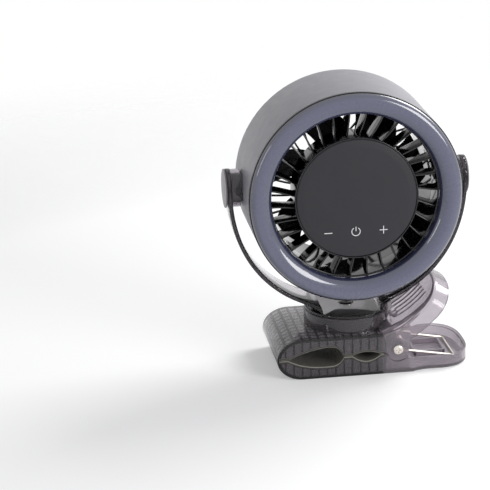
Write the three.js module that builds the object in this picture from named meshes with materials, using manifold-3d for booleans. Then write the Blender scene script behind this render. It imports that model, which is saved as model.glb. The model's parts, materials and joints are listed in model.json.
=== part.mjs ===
// A clip-on fan with a ring light, in millimetres, +Z up. The fan faces -Y, the clamp lies along X with
// its nose at -X and its handles at +X, and the origin is on the table under the swivel axis.
import * as THREE from 'three';
import { mergeVertices } from 'three/addons/utils/BufferGeometryUtils.js';
import Module from 'manifold-3d';

const wasm = await Module();
wasm.setup();

// ---- Driving dimensions -------------------------------------------------------------------------
const gap = 0.3; // between pieces that touch
const wall = 2.2; // moulded wall of the clamp

const clamp = {
  halfWidth: 35,
  height: 30,
  parting: 15, // height of the line where the closed jaws meet
  noseX: -56,
  noseLength: 18.8, // length of the rounded nose
  padEndX: 21,
  padThickness: 1.6,
  ribPitch: 6,
  ribThickness: 1.2,
};

// Each grip gap is a lens between the closed jaws: pointed towards `from`, blunt towards `to`.
const gripGaps = [
  { from: -48.2, to: -8, peak: -20, up: 7.4, down: 6.3, upFrom: 1.6, downFrom: 2.6, blunt: 3.5 },
  { from: -1.7, to: 18.5, peak: 8.4, up: 2.2, down: 4.2, upFrom: 2, downFrom: 2, blunt: 2 },
];

const hinge = { x: 31.3, z: 17.3, earRadius: 8, pinRadius: 2.6, headRadius: 3.6 };

const tray = {
  shoulderX: 43, // the jaw narrows to the tray from here on
  taper: 8,
  straightTo: 60,
  endX: 86.5,
  halfWidth: 33,
  height: 10,
  floor: 2.4,
  roundness: 2.8,
};

// The upper handle is a shallow bowl bent round an axis along Y.
const lever = {
  centreX: -3.05,
  centreZ: 99,
  radius: 75,
  startAngle: 20, // slope of the lever where it leaves the jaw, degrees
  length: 54,
  straightTo: 35,
  halfWidth: 34.6,
  skirt: 11,
  roundness: 2.45,
};

const spring = { wire: 0.9, radius: 5.4, turns: 3, pitch: 2.5, innerY: 18.2, barX: 76.3, barZ: 3.6 };

const pedestal = { radius: 30.5, top: 40.9 };

const yoke = {
  width: 28,
  thickness: 3,
  halfSpan: 85.3,
  drop: 91.5,
  roundness: 2.11,
  baseTop: 43.3,
  flareFrom: 36, // the band widens into the round base from here inwards
  flareTo: 20,
};

const head = {
  z: 134.5, // height of the tilt axis, which crosses the swivel axis
  radius: 75,
  front: -42.2,
  back: 27,
  wall: 2.2,
  openingRadius: 59,
  ductRadius: 58.3,
  ductWall: 1.5,
  hubRadius: 41.5,
  panelRadius: 42.2,
};

const vanes = { count: 31, front: -34, back: -20, thickness: 1.2, lean: 4 };
const rearRibs = { count: 24, thickness: 1.4, lean: 24 };
const impeller = { radius: 56.8, hubRadius: 24, blades: 7, front: -8.6, back: 15, thickness: 1.5 };

// ---- Building helpers ---------------------------------------------------------------------------
const degrees = Math.PI / 180;

// A closed surface as a solid that can be joined and cut.
function solid(geometry) {
  const bare = new THREE.BufferGeometry();
  bare.setAttribute('position', geometry.getAttribute('position'));
  bare.setIndex(geometry.index);
  const merged = mergeVertices(bare, 1e-4);
  const corners = [];
  for (let i = 0; i < merged.index.count; i += 3) {
    const [a, b, c] = merged.index.array.slice(i, i + 3);
    if (a !== b && b !== c && c !== a) corners.push(a, b, c);
  }
  const vertProperties = merged.attributes.position.array;
  const made = new wasm.Manifold(
    new wasm.Mesh({ numProp: 3, vertProperties, triVerts: new Uint32Array(corners) }),
  );
  if (made.volume() > 0) return made;
  const turned = new Uint32Array(corners.reverse());
  return new wasm.Manifold(new wasm.Mesh({ numProp: 3, vertProperties, triVerts: turned }));
}

function join(...solids) {
  return solids.reduce((whole, next) => whole.add(next));
}

function cut(body, ...tools) {
  return tools.reduce((rest, tool) => rest.subtract(tool), body);
}

// A mesh of a finished solid, with flat faces.
function piece(name, body, color, roughness = 0.5, metalness = 0) {
  const { vertProperties, triVerts } = body.getMesh();
  const geometry = new THREE.BufferGeometry();
  geometry.setAttribute('position', new THREE.BufferAttribute(vertProperties, 3));
  geometry.setIndex(new THREE.BufferAttribute(triVerts, 1));
  geometry.computeVertexNormals();
  const material = new THREE.MeshStandardMaterial({ color, roughness, metalness });
  const mesh = new THREE.Mesh(geometry, material);
  mesh.name = name;
  return mesh;
}

// An outline of [x, z] points drawn out along Y.
function alongY(outline, from, to) {
  const shape = new THREE.Shape(outline.map(([x, z]) => new THREE.Vector2(x, z)));
  const drawn = new THREE.ExtrudeGeometry(shape, { depth: to - from, bevelEnabled: false });
  return solid(drawn.rotateX(Math.PI / 2).translate(0, to, 0));
}

function box(x0, x1, y0, y1, z0, z1) {
  const block = new THREE.BoxGeometry(x1 - x0, y1 - y0, z1 - z0);
  return solid(block.translate((x0 + x1) / 2, (y0 + y1) / 2, (z0 + z1) / 2));
}

const layAlong = {
  x: (geometry) => geometry.rotateZ(-Math.PI / 2),
  y: (geometry) => geometry,
  z: (geometry) => geometry.rotateX(Math.PI / 2),
};

// A profile of [radius, height] points turned about an axis; off the axis it closes on itself.
function turned(profile, axis, segments) {
  const points = profile.map(([radius, height]) => new THREE.Vector2(radius, height));
  if (profile[0][0] > 0) points.push(points[0].clone());
  return solid(layAlong[axis](new THREE.LatheGeometry(points, segments)));
}

function cylinder(radius, from, to, axis, segments) {
  return turned([[0, from], [radius, from], [radius, to], [0, to]], axis, segments);
}

// A skin over sections of equally many points. Each section runs up one side and back down the other.
function loft(sections) {
  const around = sections[0].length;
  const last = (sections.length - 1) * around;
  const corners = [];
  for (let s = 0; s < sections.length - 1; s++) {
    for (let k = 0; k < around; k++) {
      const a = s * around + k;
      const b = s * around + ((k + 1) % around);
      corners.push(a, b, b + around, a, b + around, a + around);
    }
  }
  for (let k = 0; k < around / 2 - 1; k++) {
    const l = around - 1 - k;
    corners.push(k, l, l - 1, k, l - 1, k + 1);
    corners.push(last + k, last + l - 1, last + l, last + k, last + k + 1, last + l - 1);
  }
  const skin = new THREE.BufferGeometry().setFromPoints(sections.flat());
  return solid(skin.setIndex(corners));
}

// A round wire through points, as one unbroken tube.
function wire(points, radius, sides) {
  let across = new THREE.Vector3(0, 1, 0);
  const sections = points.map((point, i) => {
    const before = points[Math.max(i - 1, 0)];
    const after = points[Math.min(i + 1, points.length - 1)];
    const along = after.clone().sub(before).normalize();
    across = across.clone().addScaledVector(along, -across.dot(along)).normalize();
    const up = along.clone().cross(across);
    return Array.from({ length: sides }, (_, k) => {
      const angle = (2 * Math.PI * k) / sides;
      return point
        .clone()
        .addScaledVector(across, radius * Math.cos(angle))
        .addScaledVector(up, radius * Math.sin(angle));
    });
  });
  return tube(sections);
}

// Rings of points skinned in order, with a fan over each end.
function tube(sections) {
  const sides = sections[0].length;
  const last = (sections.length - 1) * sides;
  const corners = [];
  for (let s = 0; s < sections.length - 1; s++) {
    for (let k = 0; k < sides; k++) {
      const a = s * sides + k;
      const b = s * sides + ((k + 1) % sides);
      corners.push(a, b, b + sides, a, b + sides, a + sides);
    }
  }
  for (let k = 1; k < sides - 1; k++) {
    corners.push(0, k + 1, k);
    corners.push(last, last + k, last + k + 1);
  }
  const skin = new THREE.BufferGeometry().setFromPoints(sections.flat());
  return solid(skin.setIndex(corners));
}

// Points of a superellipse quarter from [a, 0] to [0, b].
function quarter(a, b, roundness, steps) {
  return Array.from({ length: steps + 1 }, (_, i) => {
    const angle = (i / steps) * (Math.PI / 2);
    return [
      a * Math.cos(angle) ** (2 / roundness),
      b * Math.sin(angle) ** (2 / roundness),
    ];
  });
}

function arc(x, z, radius, from, to, steps) {
  return Array.from({ length: steps + 1 }, (_, i) => {
    const angle = (from + ((to - from) * i) / steps) * degrees;
    return [x + radius * Math.cos(angle), z + radius * Math.sin(angle)];
  });
}

// ---- Clamp --------------------------------------------------------------------------------------
// How far the grip gap opens above (side 1) or below (side -1) the parting line at x.
function gripDepth(x, side) {
  for (const lens of gripGaps) {
    if (x <= lens.from || x >= lens.to) continue;
    const toPoint = (lens.peak - x) / (lens.peak - lens.from);
    const toBlunt = (x - lens.peak) / (lens.to - lens.peak);
    const sharp = side > 0 ? lens.upFrom : lens.downFrom;
    const share = x < lens.peak ? toPoint ** sharp : toBlunt ** lens.blunt;
    return (side > 0 ? lens.up : lens.down) * (1 - share);
  }
  return 0;
}

// The line of a pad's face, or of the surface `behind` millimetres behind it.
function gripLine(side, from, to, behind) {
  const steps = 26;
  return Array.from({ length: steps + 1 }, (_, i) => {
    const x = from + ((to - from) * i) / steps;
    return [x, clamp.parting + side * (gap / 2 + gripDepth(x, side) + behind)];
  });
}

const padStartX = clamp.noseX + 1.7;

// A rubber grip pad: a sheet that follows the grip gaps.
function gripPad(side) {
  const face = gripLine(side, padStartX, clamp.padEndX, 0);
  const back = gripLine(side, padStartX, clamp.padEndX, clamp.padThickness);
  const halfWidth = clamp.halfWidth - 0.2;
  return alongY([...face, ...back.reverse()], -halfWidth, halfWidth);
}

// Half of the rounded nose, from its tip to the flat, shrunk by `inset`.
function noseCurve(side, inset, steps) {
  const centreX = clamp.noseX + clamp.noseLength;
  const rise = clamp.parting - inset;
  return quarter(clamp.noseLength - inset, rise, 2, steps).map(([x, z]) => [
    centreX - x,
    clamp.parting + side * z,
  ]);
}

// The seat of a pad: the jaw's inner line behind the pad, with a lip at the nose.
function padSeat(side) {
  const seat = gripLine(side, padStartX - gap, clamp.padEndX + gap, clamp.padThickness + gap);
  const lip = clamp.parting + (side * gap) / 2;
  return [[padStartX - gap, lip], ...seat, [clamp.padEndX + gap, lip]];
}

// Hollows between the cross ribs of a jaw, open towards its pad.
function jawHollows(side, endX, keep) {
  const roof = clamp.parting + side * (clamp.parting - wall);
  const outline = [...noseCurve(side, wall, 6), [endX, roof], [endX, clamp.parting]];
  const inner = clamp.halfWidth - wall;
  const ribs = [];
  for (let x = clamp.noseX + 2 * clamp.ribPitch; x < endX - 2; x += clamp.ribPitch) {
    const half = clamp.ribThickness / 2;
    ribs.push(box(x - half, x + half, -inner, inner, -1, clamp.height + 1));
  }
  return cut(alongY(outline, -inner, inner), ...ribs, ...keep);
}

function bothSides(make) {
  return [make(-1), make(1)];
}

function betweenY(make, side, from, to) {
  return side < 0 ? make(-to, -from) : make(from, to);
}

// Half-widths of the tray or lever at stations along it, closing in to a blunt, round end.
function bowlStations(start, straightTo, end, halfWidth, roundness) {
  const straight = [0, 1, 2, 3].map((i) => [start + ((straightTo - start) * i) / 4, halfWidth]);
  const curve = quarter(end - straightTo, halfWidth, roundness, 9).reverse().slice(0, -1);
  return [
    ...straight,
    ...curve.map(([u, w]) => [straightTo + u, w]),
    [end, halfWidth * 0.22],
  ];
}

// The tray's block from the jaw's shoulder to its round end, shrunk by `inset`.
function trayBody(inset, from, bottom, top) {
  const stations = bowlStations(
    tray.shoulderX + tray.taper, tray.straightTo, tray.endX - inset, tray.halfWidth - inset,
    tray.roundness);
  const neck = [from, tray.shoulderX].map((x) => [x, clamp.halfWidth - inset]);
  return loft([...neck, ...stations].map(([x, w]) => [
    new THREE.Vector3(x, -w, bottom),
    new THREE.Vector3(x, -w, top),
    new THREE.Vector3(x, w, top),
    new THREE.Vector3(x, w, bottom),
  ]));
}

// Lower jaw with the tray that is the lower handle.
function lowerJaw() {
  const half = clamp.halfWidth;
  const outline = [
    ...noseCurve(-1, 0, 8),
    [tray.shoulderX, 0],
    [tray.shoulderX, tray.height],
    ...arc(hinge.x, hinge.z, hinge.earRadius + 0.8, -52, -163.8, 8),
    ...padSeat(-1).reverse(),
  ];
  const ear = [
    ...arc(hinge.x, hinge.z, hinge.earRadius - 0.8, 0, 180, 8),
    [hinge.x - 9, 1],
    [hinge.x + 9, 1],
  ];
  const earThickness = 2.4;
  const earOuter = half - wall - 0.4 - 2 * gap;
  const ears = bothSides((side) =>
    betweenY((a, b) => alongY(ear, a, b), side, earOuter - earThickness, earOuter));
  const hingeRoom = [
    [clamp.padEndX + 2, wall],
    [tray.shoulderX + 2, wall],
    [tray.shoulderX + 2, clamp.height],
    [clamp.padEndX + 2, clamp.height],
  ];
  const room = half - wall;
  const guideOuter = box(48, 71, -12.5, 12.5, wall, 6.4);
  const guideInner = box(49.6, 69.4, -10.9, 10.9, tray.floor, 9);
  const shell = cut(
    join(alongY(outline, -half, half), trayBody(0, 38, 0, tray.height)),
    jawHollows(-1, clamp.padEndX, []),
    alongY(hingeRoom, -room, room),
    trayBody(wall, 36, tray.floor, tray.height + 5),
  );
  const pinHole = cylinder(hinge.pinRadius + gap, -half, half, 'y', 20);
  const bore = pinHole.translate([hinge.x, 0, hinge.z]);
  return cut(join(shell, ...ears, cut(guideOuter, guideInner)), bore);
}

// A point of the bent lever: u along its slope, y across, n out of its back.
function onLever(u, y, n) {
  const slope = lever.startAngle * degrees + u / lever.radius;
  return new THREE.Vector3(
    lever.centreX + (lever.radius - n) * Math.sin(slope),
    y,
    lever.centreZ - (lever.radius - n) * Math.cos(slope),
  );
}

// Height of the lever's raised back over its rim.
function leverCrown(u) {
  return 4 - (2 * u) / lever.length;
}

function leverBody(start, inset, bottom) {
  const stations = bowlStations(
    start, lever.straightTo, lever.length - inset, lever.halfWidth - inset, lever.roundness);
  return loft(stations.map(([u, w]) => {
    const top = leverCrown(u) - inset;
    const bevel = Math.min(4, w / 2);
    return [
      onLever(u, -w, -bottom),
      onLever(u, -w, Math.min(0, top)),
      onLever(u, -w + bevel, top),
      onLever(u, w - bevel, top),
      onLever(u, w, Math.min(0, top)),
      onLever(u, w, -bottom),
    ];
  }));
}

// Raised finger ridges along the back of the lever.
function leverRidges() {
  const count = 7;
  const spacing = 4.2;
  const half = 0.8;
  return Array.from({ length: count }, (_, i) => {
    const y = (i - (count - 1) / 2) * spacing;
    return loft([14, 21, 28, 35, 42].map((u) => {
      const foot = leverCrown(u) - 0.6;
      const top = leverCrown(u) + 0.7;
      return [
        onLever(u, y - half, foot),
        onLever(u, y - half, top),
        onLever(u, y + half, top),
        onLever(u, y + half, foot),
      ];
    }));
  });
}

const screwSeat = 1.1; // depth of the recess of a hinge screw's head

// Upper jaw, with the swivel pedestal on its back and the lever that is the upper handle.
function upperJaw() {
  const half = clamp.halfWidth;
  const cheekX = 40;
  const outline = [
    ...noseCurve(1, 0, 8),
    [clamp.padEndX, clamp.height],
    [cheekX, clamp.height + 5.6],
    [cheekX, hinge.z + 4],
    ...arc(hinge.x, hinge.z, hinge.earRadius, 10, -164.4, 9),
    ...padSeat(1).reverse(),
  ];
  const tubeInner = pedestal.radius - 1.8;
  const innerTube = turned(
    [[tubeInner, 10], [pedestal.radius, 10], [pedestal.radius, 29], [tubeInner, 29]], 'z', 32);
  const hingeRoom = [
    [clamp.padEndX + 2, 0],
    [cheekX + 3, 0],
    [cheekX + 3, hinge.z + 3],
    [clamp.padEndX + 2, hinge.z + 3],
  ];
  const room = half - wall - 0.2;
  const pin = cylinder(hinge.pinRadius + gap, -half, half, 'y', 20);
  const recess = cylinder(hinge.headRadius + gap, 0, 5, 'y', 20);
  const recesses = [
    recess.translate([0, half - screwSeat, 0]),
    recess.rotate([0, 0, 180]).translate([0, screwSeat - half, 0]),
  ];
  const place = (body) => body.translate([hinge.x, 0, hinge.z]);
  return cut(
    join(
      alongY(outline, -half, half),
      cylinder(pedestal.radius, clamp.height - 1, pedestal.top, 'z', 40),
      leverBody(-3, 0, lever.skirt),
      ...leverRidges(),
    ),
    jawHollows(1, clamp.padEndX, [innerTube]),
    cylinder(tubeInner, clamp.height, pedestal.top + 1, 'z', 40),
    leverBody(-1.5, wall, lever.skirt + 5),
    alongY(hingeRoom, -room, room),
    ...[pin, ...recesses].map(place),
  );
}

// Pin with a threaded bore in each end.
function hingePin() {
  const halfLength = clamp.halfWidth - 1.4;
  const bores = bothSides((side) =>
    betweenY((a, b) => cylinder(1.8, a, b, 'y', 12), side, halfLength - 9, halfLength + 1));
  return cut(cylinder(hinge.pinRadius, -halfLength, halfLength, 'y', 16), ...bores);
}

function hingeSleeve() {
  const inner = hinge.pinRadius + gap;
  const halfLength = clamp.halfWidth - 6.2;
  const profile = [[inner, -halfLength], [4.1, -halfLength], [4.1, halfLength], [inner, halfLength]];
  return turned(profile, 'y', 16);
}

// A pan-head screw along +Y with its head's seat at 0 and a cross recess.
function screw(headRadius, headHeight, shankRadius, length, axis) {
  const body = turned(
    [
      [0, -length],
      [shankRadius, -length],
      [shankRadius, 0],
      [headRadius, 0],
      [headRadius, headHeight * 0.55],
      [headRadius * 0.7, headHeight],
      [0, headHeight],
    ],
    'y', 12);
  const deep = headHeight * 0.5;
  const arm = headRadius * 0.55;
  const slot = headRadius * 0.11;
  const recess = join(
    box(-arm, arm, deep, headHeight + 1, -slot, slot),
    box(-slot, slot, deep, headHeight + 1, -arm, arm),
  );
  const turn = { x: [0, 0, -90], y: [0, 0, 0], z: [90, 0, 0] }[axis];
  return cut(body, recess).rotate(turn);
}

// Double torsion spring: two coils on the hinge joined by a bow in the tray, free legs under the lever.
function springPath() {
  const end = onLever(35, 0, leverCrown(35) - wall - gap - spring.wire - 0.2);
  const reach = Math.hypot(end.x - hinge.x, end.z - hinge.z);
  const upper = Math.atan2(end.z - hinge.z, end.x - hinge.x) - Math.asin(spring.radius / reach);
  const barReach = Math.hypot(spring.barX - hinge.x, spring.barZ - hinge.z);
  const lower =
    Math.atan2(spring.barZ - hinge.z, spring.barX - hinge.x) + Math.asin(spring.radius / barReach);
  const first = upper + Math.PI / 2;
  const sweep = lower - Math.PI / 2 + 2 * Math.PI * (spring.turns + 1) - first;
  const steps = Math.round((8 * sweep) / (2 * Math.PI));
  const rise = (spring.pitch * sweep) / (2 * Math.PI);
  const half = [new THREE.Vector3(end.x, -spring.innerY - rise, end.z)];
  for (let i = 0; i <= steps; i++) {
    const angle = first + (sweep * i) / steps;
    half.push(new THREE.Vector3(
      hinge.x + spring.radius * Math.cos(angle),
      -spring.innerY - rise * (1 - i / steps),
      hinge.z + spring.radius * Math.sin(angle),
    ));
  }
  half.push(new THREE.Vector3(spring.barX - 3, -spring.innerY, spring.barZ + 0.5));
  half.push(new THREE.Vector3(spring.barX - 0.8, -spring.innerY + 0.9, spring.barZ + 0.1));
  half.push(new THREE.Vector3(spring.barX, -spring.innerY + 3, spring.barZ));
  const mirrored = half.map((p) => new THREE.Vector3(p.x, -p.y, p.z)).reverse();
  return [...half, ...mirrored];
}

// Least clear distance between stretches of the wire that lie more than one turn apart.
function leastGap(points, radius) {
  let least = Infinity;
  points.forEach((p, i) => {
    for (let k = i + 6; k < points.length; k++) least = Math.min(least, p.distanceTo(points[k]));
  });
  return least - 2 * radius;
}

// ---- Swivel and yoke ----------------------------------------------------------------------------
function swivelDisc() {
  const postRadius = 9;
  const plate = pedestal.top - 3;
  const radius = pedestal.radius - 1.8 - gap;
  return turned(
    [
      [2.5, clamp.height + gap],
      [postRadius, clamp.height + gap],
      [postRadius, plate],
      [radius, plate],
      [radius, pedestal.top],
      [2.5, pedestal.top],
    ],
    'z', 24);
}

const screwDepth = 2.1; // depth of a pivot screw's seat in the arm

// Half the band's width: it flares out to the rim of the round base.
function yokeHalfWidth(x) {
  const away = Math.abs(x);
  if (away < yoke.flareTo) return Math.sqrt((pedestal.radius - 0.2) ** 2 - away ** 2);
  const share = Math.max((yoke.flareFrom - away) / yoke.flareTo, 0);
  return yoke.width / 2 + 12.5 * share ** 1.6;
}

// Height of the band's underside where the curve alone would pass at z: its roots dip to the base.
function yokeUnderside(x, z) {
  const dip = 0.034 * Math.max(30 - Math.abs(x), 0) ** 2;
  return Math.max(z - dip, yoke.baseTop - 1.2);
}

function yokeBand() {
  const curve = (inset) => quarter(yoke.halfSpan - inset, yoke.drop - inset, yoke.roundness, 20);
  const inner = curve(yoke.thickness);
  const right = curve(0).map(([x, z], i) => {
    const half = yokeHalfWidth(x);
    const under = yokeUnderside(x, head.z - z);
    const [ix, iz] = inner[i];
    return [[x, -half, under], [ix, -half, head.z - iz], [ix, half, head.z - iz], [x, half, under]]
      .map((point) => new THREE.Vector3(...point));
  });
  const mirrored = right.slice(0, -1).reverse().map((section) => section.map(
    ({ x, y, z }) => new THREE.Vector3(-x, y, z)));
  return loft([...right, ...mirrored]);
}

// U-shaped band with round arm ends and a collar round each pivot. It is let in down to its round
// base between the arms' roots.
function yokeBody() {
  const half = yoke.width / 2;
  const low = yoke.baseTop - 0.05;
  const letIn = alongY(
    [[-yoke.flareTo, low], [yoke.flareTo, low], [yoke.flareTo + 2.6, 52], [-yoke.flareTo - 2.6, 52]],
    -40, 40);
  const band = cut(yokeBand(), letIn);
  const base = turned(
    [
      [0, pedestal.top + 0.4],
      [pedestal.radius - 0.2, pedestal.top + 0.4],
      [pedestal.radius - 0.2, yoke.baseTop - 0.6],
      [pedestal.radius - 0.8, yoke.baseTop],
      [0, yoke.baseTop],
    ],
    'z', 32);
  const armOuter = yoke.halfSpan;
  const armInner = yoke.halfSpan - yoke.thickness;
  const collarStart = head.radius + 0.6;
  const ends = bothSides((side) => {
    const place = (a, b, r, n) => betweenY((p, q) => cylinder(r, p, q, 'x', n), side, a, b);
    const whole = join(
      place(armInner, armOuter, half, 24),
      place(collarStart, armInner + 1, 13.5, 24),
    );
    const holes = [
      place(head.radius, armInner - 0.4, 11.1, 20),
      place(head.radius, armOuter + 1, 2.4, 12),
      place(armOuter - screwDepth, armOuter + 1, 4.6, 16),
    ];
    return { whole, holes };
  });
  const raise = (body) => body.translate([0, 0, head.z]);
  const screwHoles = [
    cylinder(2.6, clamp.height, head.z - 50, 'z', 12),
    cylinder(5.4, yoke.baseTop - 0.9, head.z - 50, 'z', 20),
  ];
  return cut(
    join(band, base, ...ends.map(({ whole }) => raise(whole))),
    ...ends.flatMap(({ holes }) => holes.map(raise)),
    ...screwHoles,
  );
}

function pivotCap(side) {
  const seat = yoke.halfSpan + gap;
  const profile = [[0, seat], [13.8, seat], [13.8, seat + 0.7], [13, seat + 1.2], [0, seat + 1.2]];
  const flip = profile.map(([r, x]) => [r, side * x]);
  return turned(flip, 'x', 28);
}

// ---- Head ---------------------------------------------------------------------------------------
const pivotRadius = 10.5;

function pivotHub(side) {
  const flange = head.radius - head.wall - 4;
  const profile = [
    [2.2, flange],
    [13.5, flange],
    [13.5, flange + 2],
    [pivotRadius, flange + 2],
    [pivotRadius, yoke.halfSpan - yoke.thickness - 0.7],
    [2.2, yoke.halfSpan - yoke.thickness - 0.7],
  ];
  return turned(profile.map(([r, x]) => [r, side * x]), 'x', 20);
}

const port = { halfWidth: 4.5, low: 68.1, high: 71.3 };

function drumHousing() {
  const inner = head.radius - head.wall;
  const lip = head.front + 1.8; // the light ring's flange covers the shell's front edge
  const shell = turned(
    [
      [head.radius, lip],
      [inner, lip],
      [inner, head.back - head.wall],
      [66.3, head.back - head.wall],
      [66.3, head.back],
      [head.radius - 2.8, head.back],
      [head.radius - 0.8, head.back - 0.8],
      [head.radius, head.back - 2.8],
    ],
    'y', 54);
  const pivots = cylinder(pivotRadius + gap, -80, 80, 'x', 24);
  const halfSlot = port.halfWidth + gap;
  const slotDepth = head.back - 4;
  const socket = box(
    -halfSlot, halfSlot, slotDepth, head.back + 1, -port.high - 0.2, -port.low + 0.2);
  return cut(shell, pivots, socket);
}

// Frosted ring over the lamps: a rolled lens with a leg down each side.
function lightDiffuser() {
  const inner = head.openingRadius;
  const outer = head.radius - 0.1;
  const leg = head.radius - head.wall - gap;
  const foot = head.front + 5.4;
  return turned(
    [
      [leg, foot],
      [leg, head.front + 1.5],
      [outer, head.front + 1.5],
      [outer, head.front + 0.6],
      [outer - 0.9, head.front - 1.1],
      [outer - 2.9, head.front - 2.8],
      [outer - 5.8, head.front - 3.9],
      [inner + 6.3, head.front - 3.9],
      [inner + 3.1, head.front - 2.6],
      [inner + 0.9, head.front - 0.2],
      [inner, head.front + 2.8],
      [inner, foot],
      [inner + 1.5, foot],
      [inner + 1.5, head.front + 2.6],
      [inner + 4.6, head.front - 1.4],
      [outer - 6, head.front - 2.2],
      [leg - 1.5, head.front + 0.4],
      [leg - 1.5, foot],
    ],
    'y', 44);
}

function lampBoard() {
  return turned([[61, -38.2], [70.6, -38.2], [70.6, -36.8], [61, -36.8]], 'y', 32);
}

// The plan outline of a thin rib from radius r0 to r1, whose outer end lies `lean` degrees behind.
function ribOutline(r0, r1, lean, thickness, steps) {
  const side = (offset) => Array.from({ length: steps + 1 }, (_, i) => {
    const t = i / steps;
    const radius = r0 + (r1 - r0) * t;
    const angle = lean * degrees * (1 - t) ** 1.5 + offset / radius;
    return [radius * Math.cos(angle), radius * Math.sin(angle)];
  });
  return [...side(-thickness / 2), ...side(thickness / 2).reverse()];
}

function aroundY(body, count) {
  return Array.from({ length: count }, (_, i) => body.rotate([0, (360 * i) / count, 0]));
}

// Front guard: the hub cup and the outer ring, joined by the guide vanes.
function frontGrille() {
  const hub = turned(
    [
      [head.hubRadius, -41],
      [head.hubRadius, -12.8],
      [head.hubRadius - 0.8, -12],
      [3, -12],
      [3, -13.5],
      [head.hubRadius - 1.6, -13.5],
      [head.hubRadius - 1.6, -41],
    ],
    'y', 40);
  const ringInner = head.ductRadius;
  const ringOuter = head.ductRadius + head.ductWall;
  const ring = turned(
    [
      [ringInner, -18],
      [ringOuter, -18],
      [ringOuter, -35],
      [72.3, -35],
      [72.3, -36.5],
      [ringInner, -36.5],
    ],
    'y', 48);
  const outline = ribOutline(head.hubRadius - 0.7, ringInner + 0.6, vanes.lean, vanes.thickness, 2);
  const vane = alongY(outline, vanes.front, vanes.back);
  return join(hub, ring, ...aroundY(vane, vanes.count));
}

function airDuct() {
  const inner = head.ductRadius;
  const outer = head.ductRadius + head.ductWall;
  return turned([[inner, -17.7], [outer, -17.7], [outer, 22.3], [inner, 22.3]], 'y', 48);
}

// Rear guard: swept ribs between a centre disc and a stepped rim.
function rearGrille() {
  const rim = turned(
    [[59, 22.6], [67.2, 22.6], [67.2, 24.5], [66, 24.5], [66, 26.8], [59, 26.8]], 'y', 44);
  const disc = turned([[0, 24.2], [19, 24.2], [21, 25], [21, 26], [19, 27], [0, 27]], 'y', 20);
  const outline = ribOutline(20.3, 59.6, rearRibs.lean, rearRibs.thickness, 2);
  const rib = alongY(outline, 24.4, 26.6);
  return join(rim, disc, ...aroundY(rib, rearRibs.count));
}

function controlPanel() {
  const rim = head.panelRadius;
  return turned(
    [
      [0, -44.5],
      [22, -44.4],
      [37, -44],
      [rim - 0.8, -43.6],
      [rim, -43],
      [rim, -42.4],
      [39.6, -42.4],
      [39.6, -41.3],
      [0, -41.3],
    ],
    'y', 36);
}

// The panel's rim: a thin ring round its edge on a ledge under it.
function panelBezel() {
  const inner = head.panelRadius + gap;
  return turned(
    [
      [inner, -43.4],
      [inner + 0.6, -43.4],
      [inner + 0.9, -42.8],
      [inner + 0.9, -41.8],
      [inner + 0.4, -41.3],
      [39.9, -41.3],
      [39.9, -42.1],
      [inner, -42.1],
    ],
    'y', 40);
}

function chargingPort() {
  const outer = box(-port.halfWidth, port.halfWidth, 20, 26.8, -port.high, -port.low);
  const mouth = box(
    -port.halfWidth + 0.4, port.halfWidth - 0.4, 21, 28, -port.high + 0.4, -port.low - 0.4);
  const tongue = box(-port.halfWidth + 1.2, port.halfWidth - 1.2, 20.5, 25.8, -70.05, -69.35);
  return join(cut(outer, mouth), tongue);
}

// One blade: sections from root to tip, each a cambered, tapered slice that twists flatter outwards.
function blade() {
  const stations = 5;
  const across = 4;
  const sections = Array.from({ length: stations }, (_, i) => {
    const t = i / (stations - 1);
    const radius = impeller.hubRadius - 1.2 + (impeller.radius - impeller.hubRadius + 1.2) * t;
    const pitch = (46 - 18 * t) * degrees;
    const chord = 26 + 9 * Math.sin(t * Math.PI * 0.7);
    const sweep = 16 * t * t * degrees;
    const middle = (impeller.front + impeller.back) / 2;
    const side = (face) => Array.from({ length: across + 1 }, (_, k) => {
      const s = k / across - 0.5;
      const camber = 3.2 * (0.25 - s * s);
      const half = face * impeller.thickness * (0.5 - 0.6 * Math.abs(s) ** 1.5);
      const along = s * chord;
      const off = camber + half;
      const angle = sweep + (along * Math.cos(pitch) - off * Math.sin(pitch)) / radius;
      const y = middle + along * Math.sin(pitch) + off * Math.cos(pitch);
      return new THREE.Vector3(radius * Math.cos(angle), y, radius * Math.sin(angle));
    });
    return [...side(1), ...side(-1).reverse()];
  });
  return loft(sections);
}

function impellerBody() {
  const hub = turned(
    [
      [1.8, 3.2],
      [16.6, 3.2],
      [16.6, impeller.front],
      [21, impeller.front - 0.8],
      [impeller.hubRadius, impeller.front + 2],
      [impeller.hubRadius, impeller.back - 4],
      [impeller.hubRadius - 3, impeller.back - 1],
      [1.8, impeller.back],
    ],
    'y', 36);
  return join(hub, ...aroundY(blade(), impeller.blades));
}

function rotorCup() {
  return turned(
    [[1.8, 2.9], [16.3, 2.9], [16.3, -8.4], [14.6, -8.4], [14.6, 1.3], [1.8, 1.3]], 'y', 28);
}

// Wound stator: a sleeve for the bearings with nine poles round it.
function statorBody() {
  const sleeve = turned(
    [[4.2, -11.7], [12, -11.7], [12, -10.2], [5.6, -10.2], [5.6, 0.6], [4.2, 0.6]], 'y', 20);
  const pole = join(
    box(5, 13, -8, -1.5, -1.3, 1.3),
    box(12, 14.1, -8, -1.5, -3, 3),
  );
  return join(sleeve, ...aroundY(pole, 9));
}

function bearing(from, to) {
  return turned([[1.8, from], [3.9, from], [3.9, to], [1.8, to]], 'y', 16);
}

// ---- Assembly -----------------------------------------------------------------------------------
const smoke = 0x6b636b;
const black = 0x17171b;
const steel = 0xc9c6c0;

const clampGroup = new THREE.Group();
clampGroup.add(piece('lower_jaw', lowerJaw(), smoke, 0.15));
clampGroup.add(piece('lower_pad', gripPad(-1), 0x5a5a50, 0.85));
clampGroup.add(piece('upper_jaw', upperJaw(), smoke, 0.15));
clampGroup.add(piece('upper_pad', gripPad(1), 0x5a5a50, 0.85));

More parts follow.
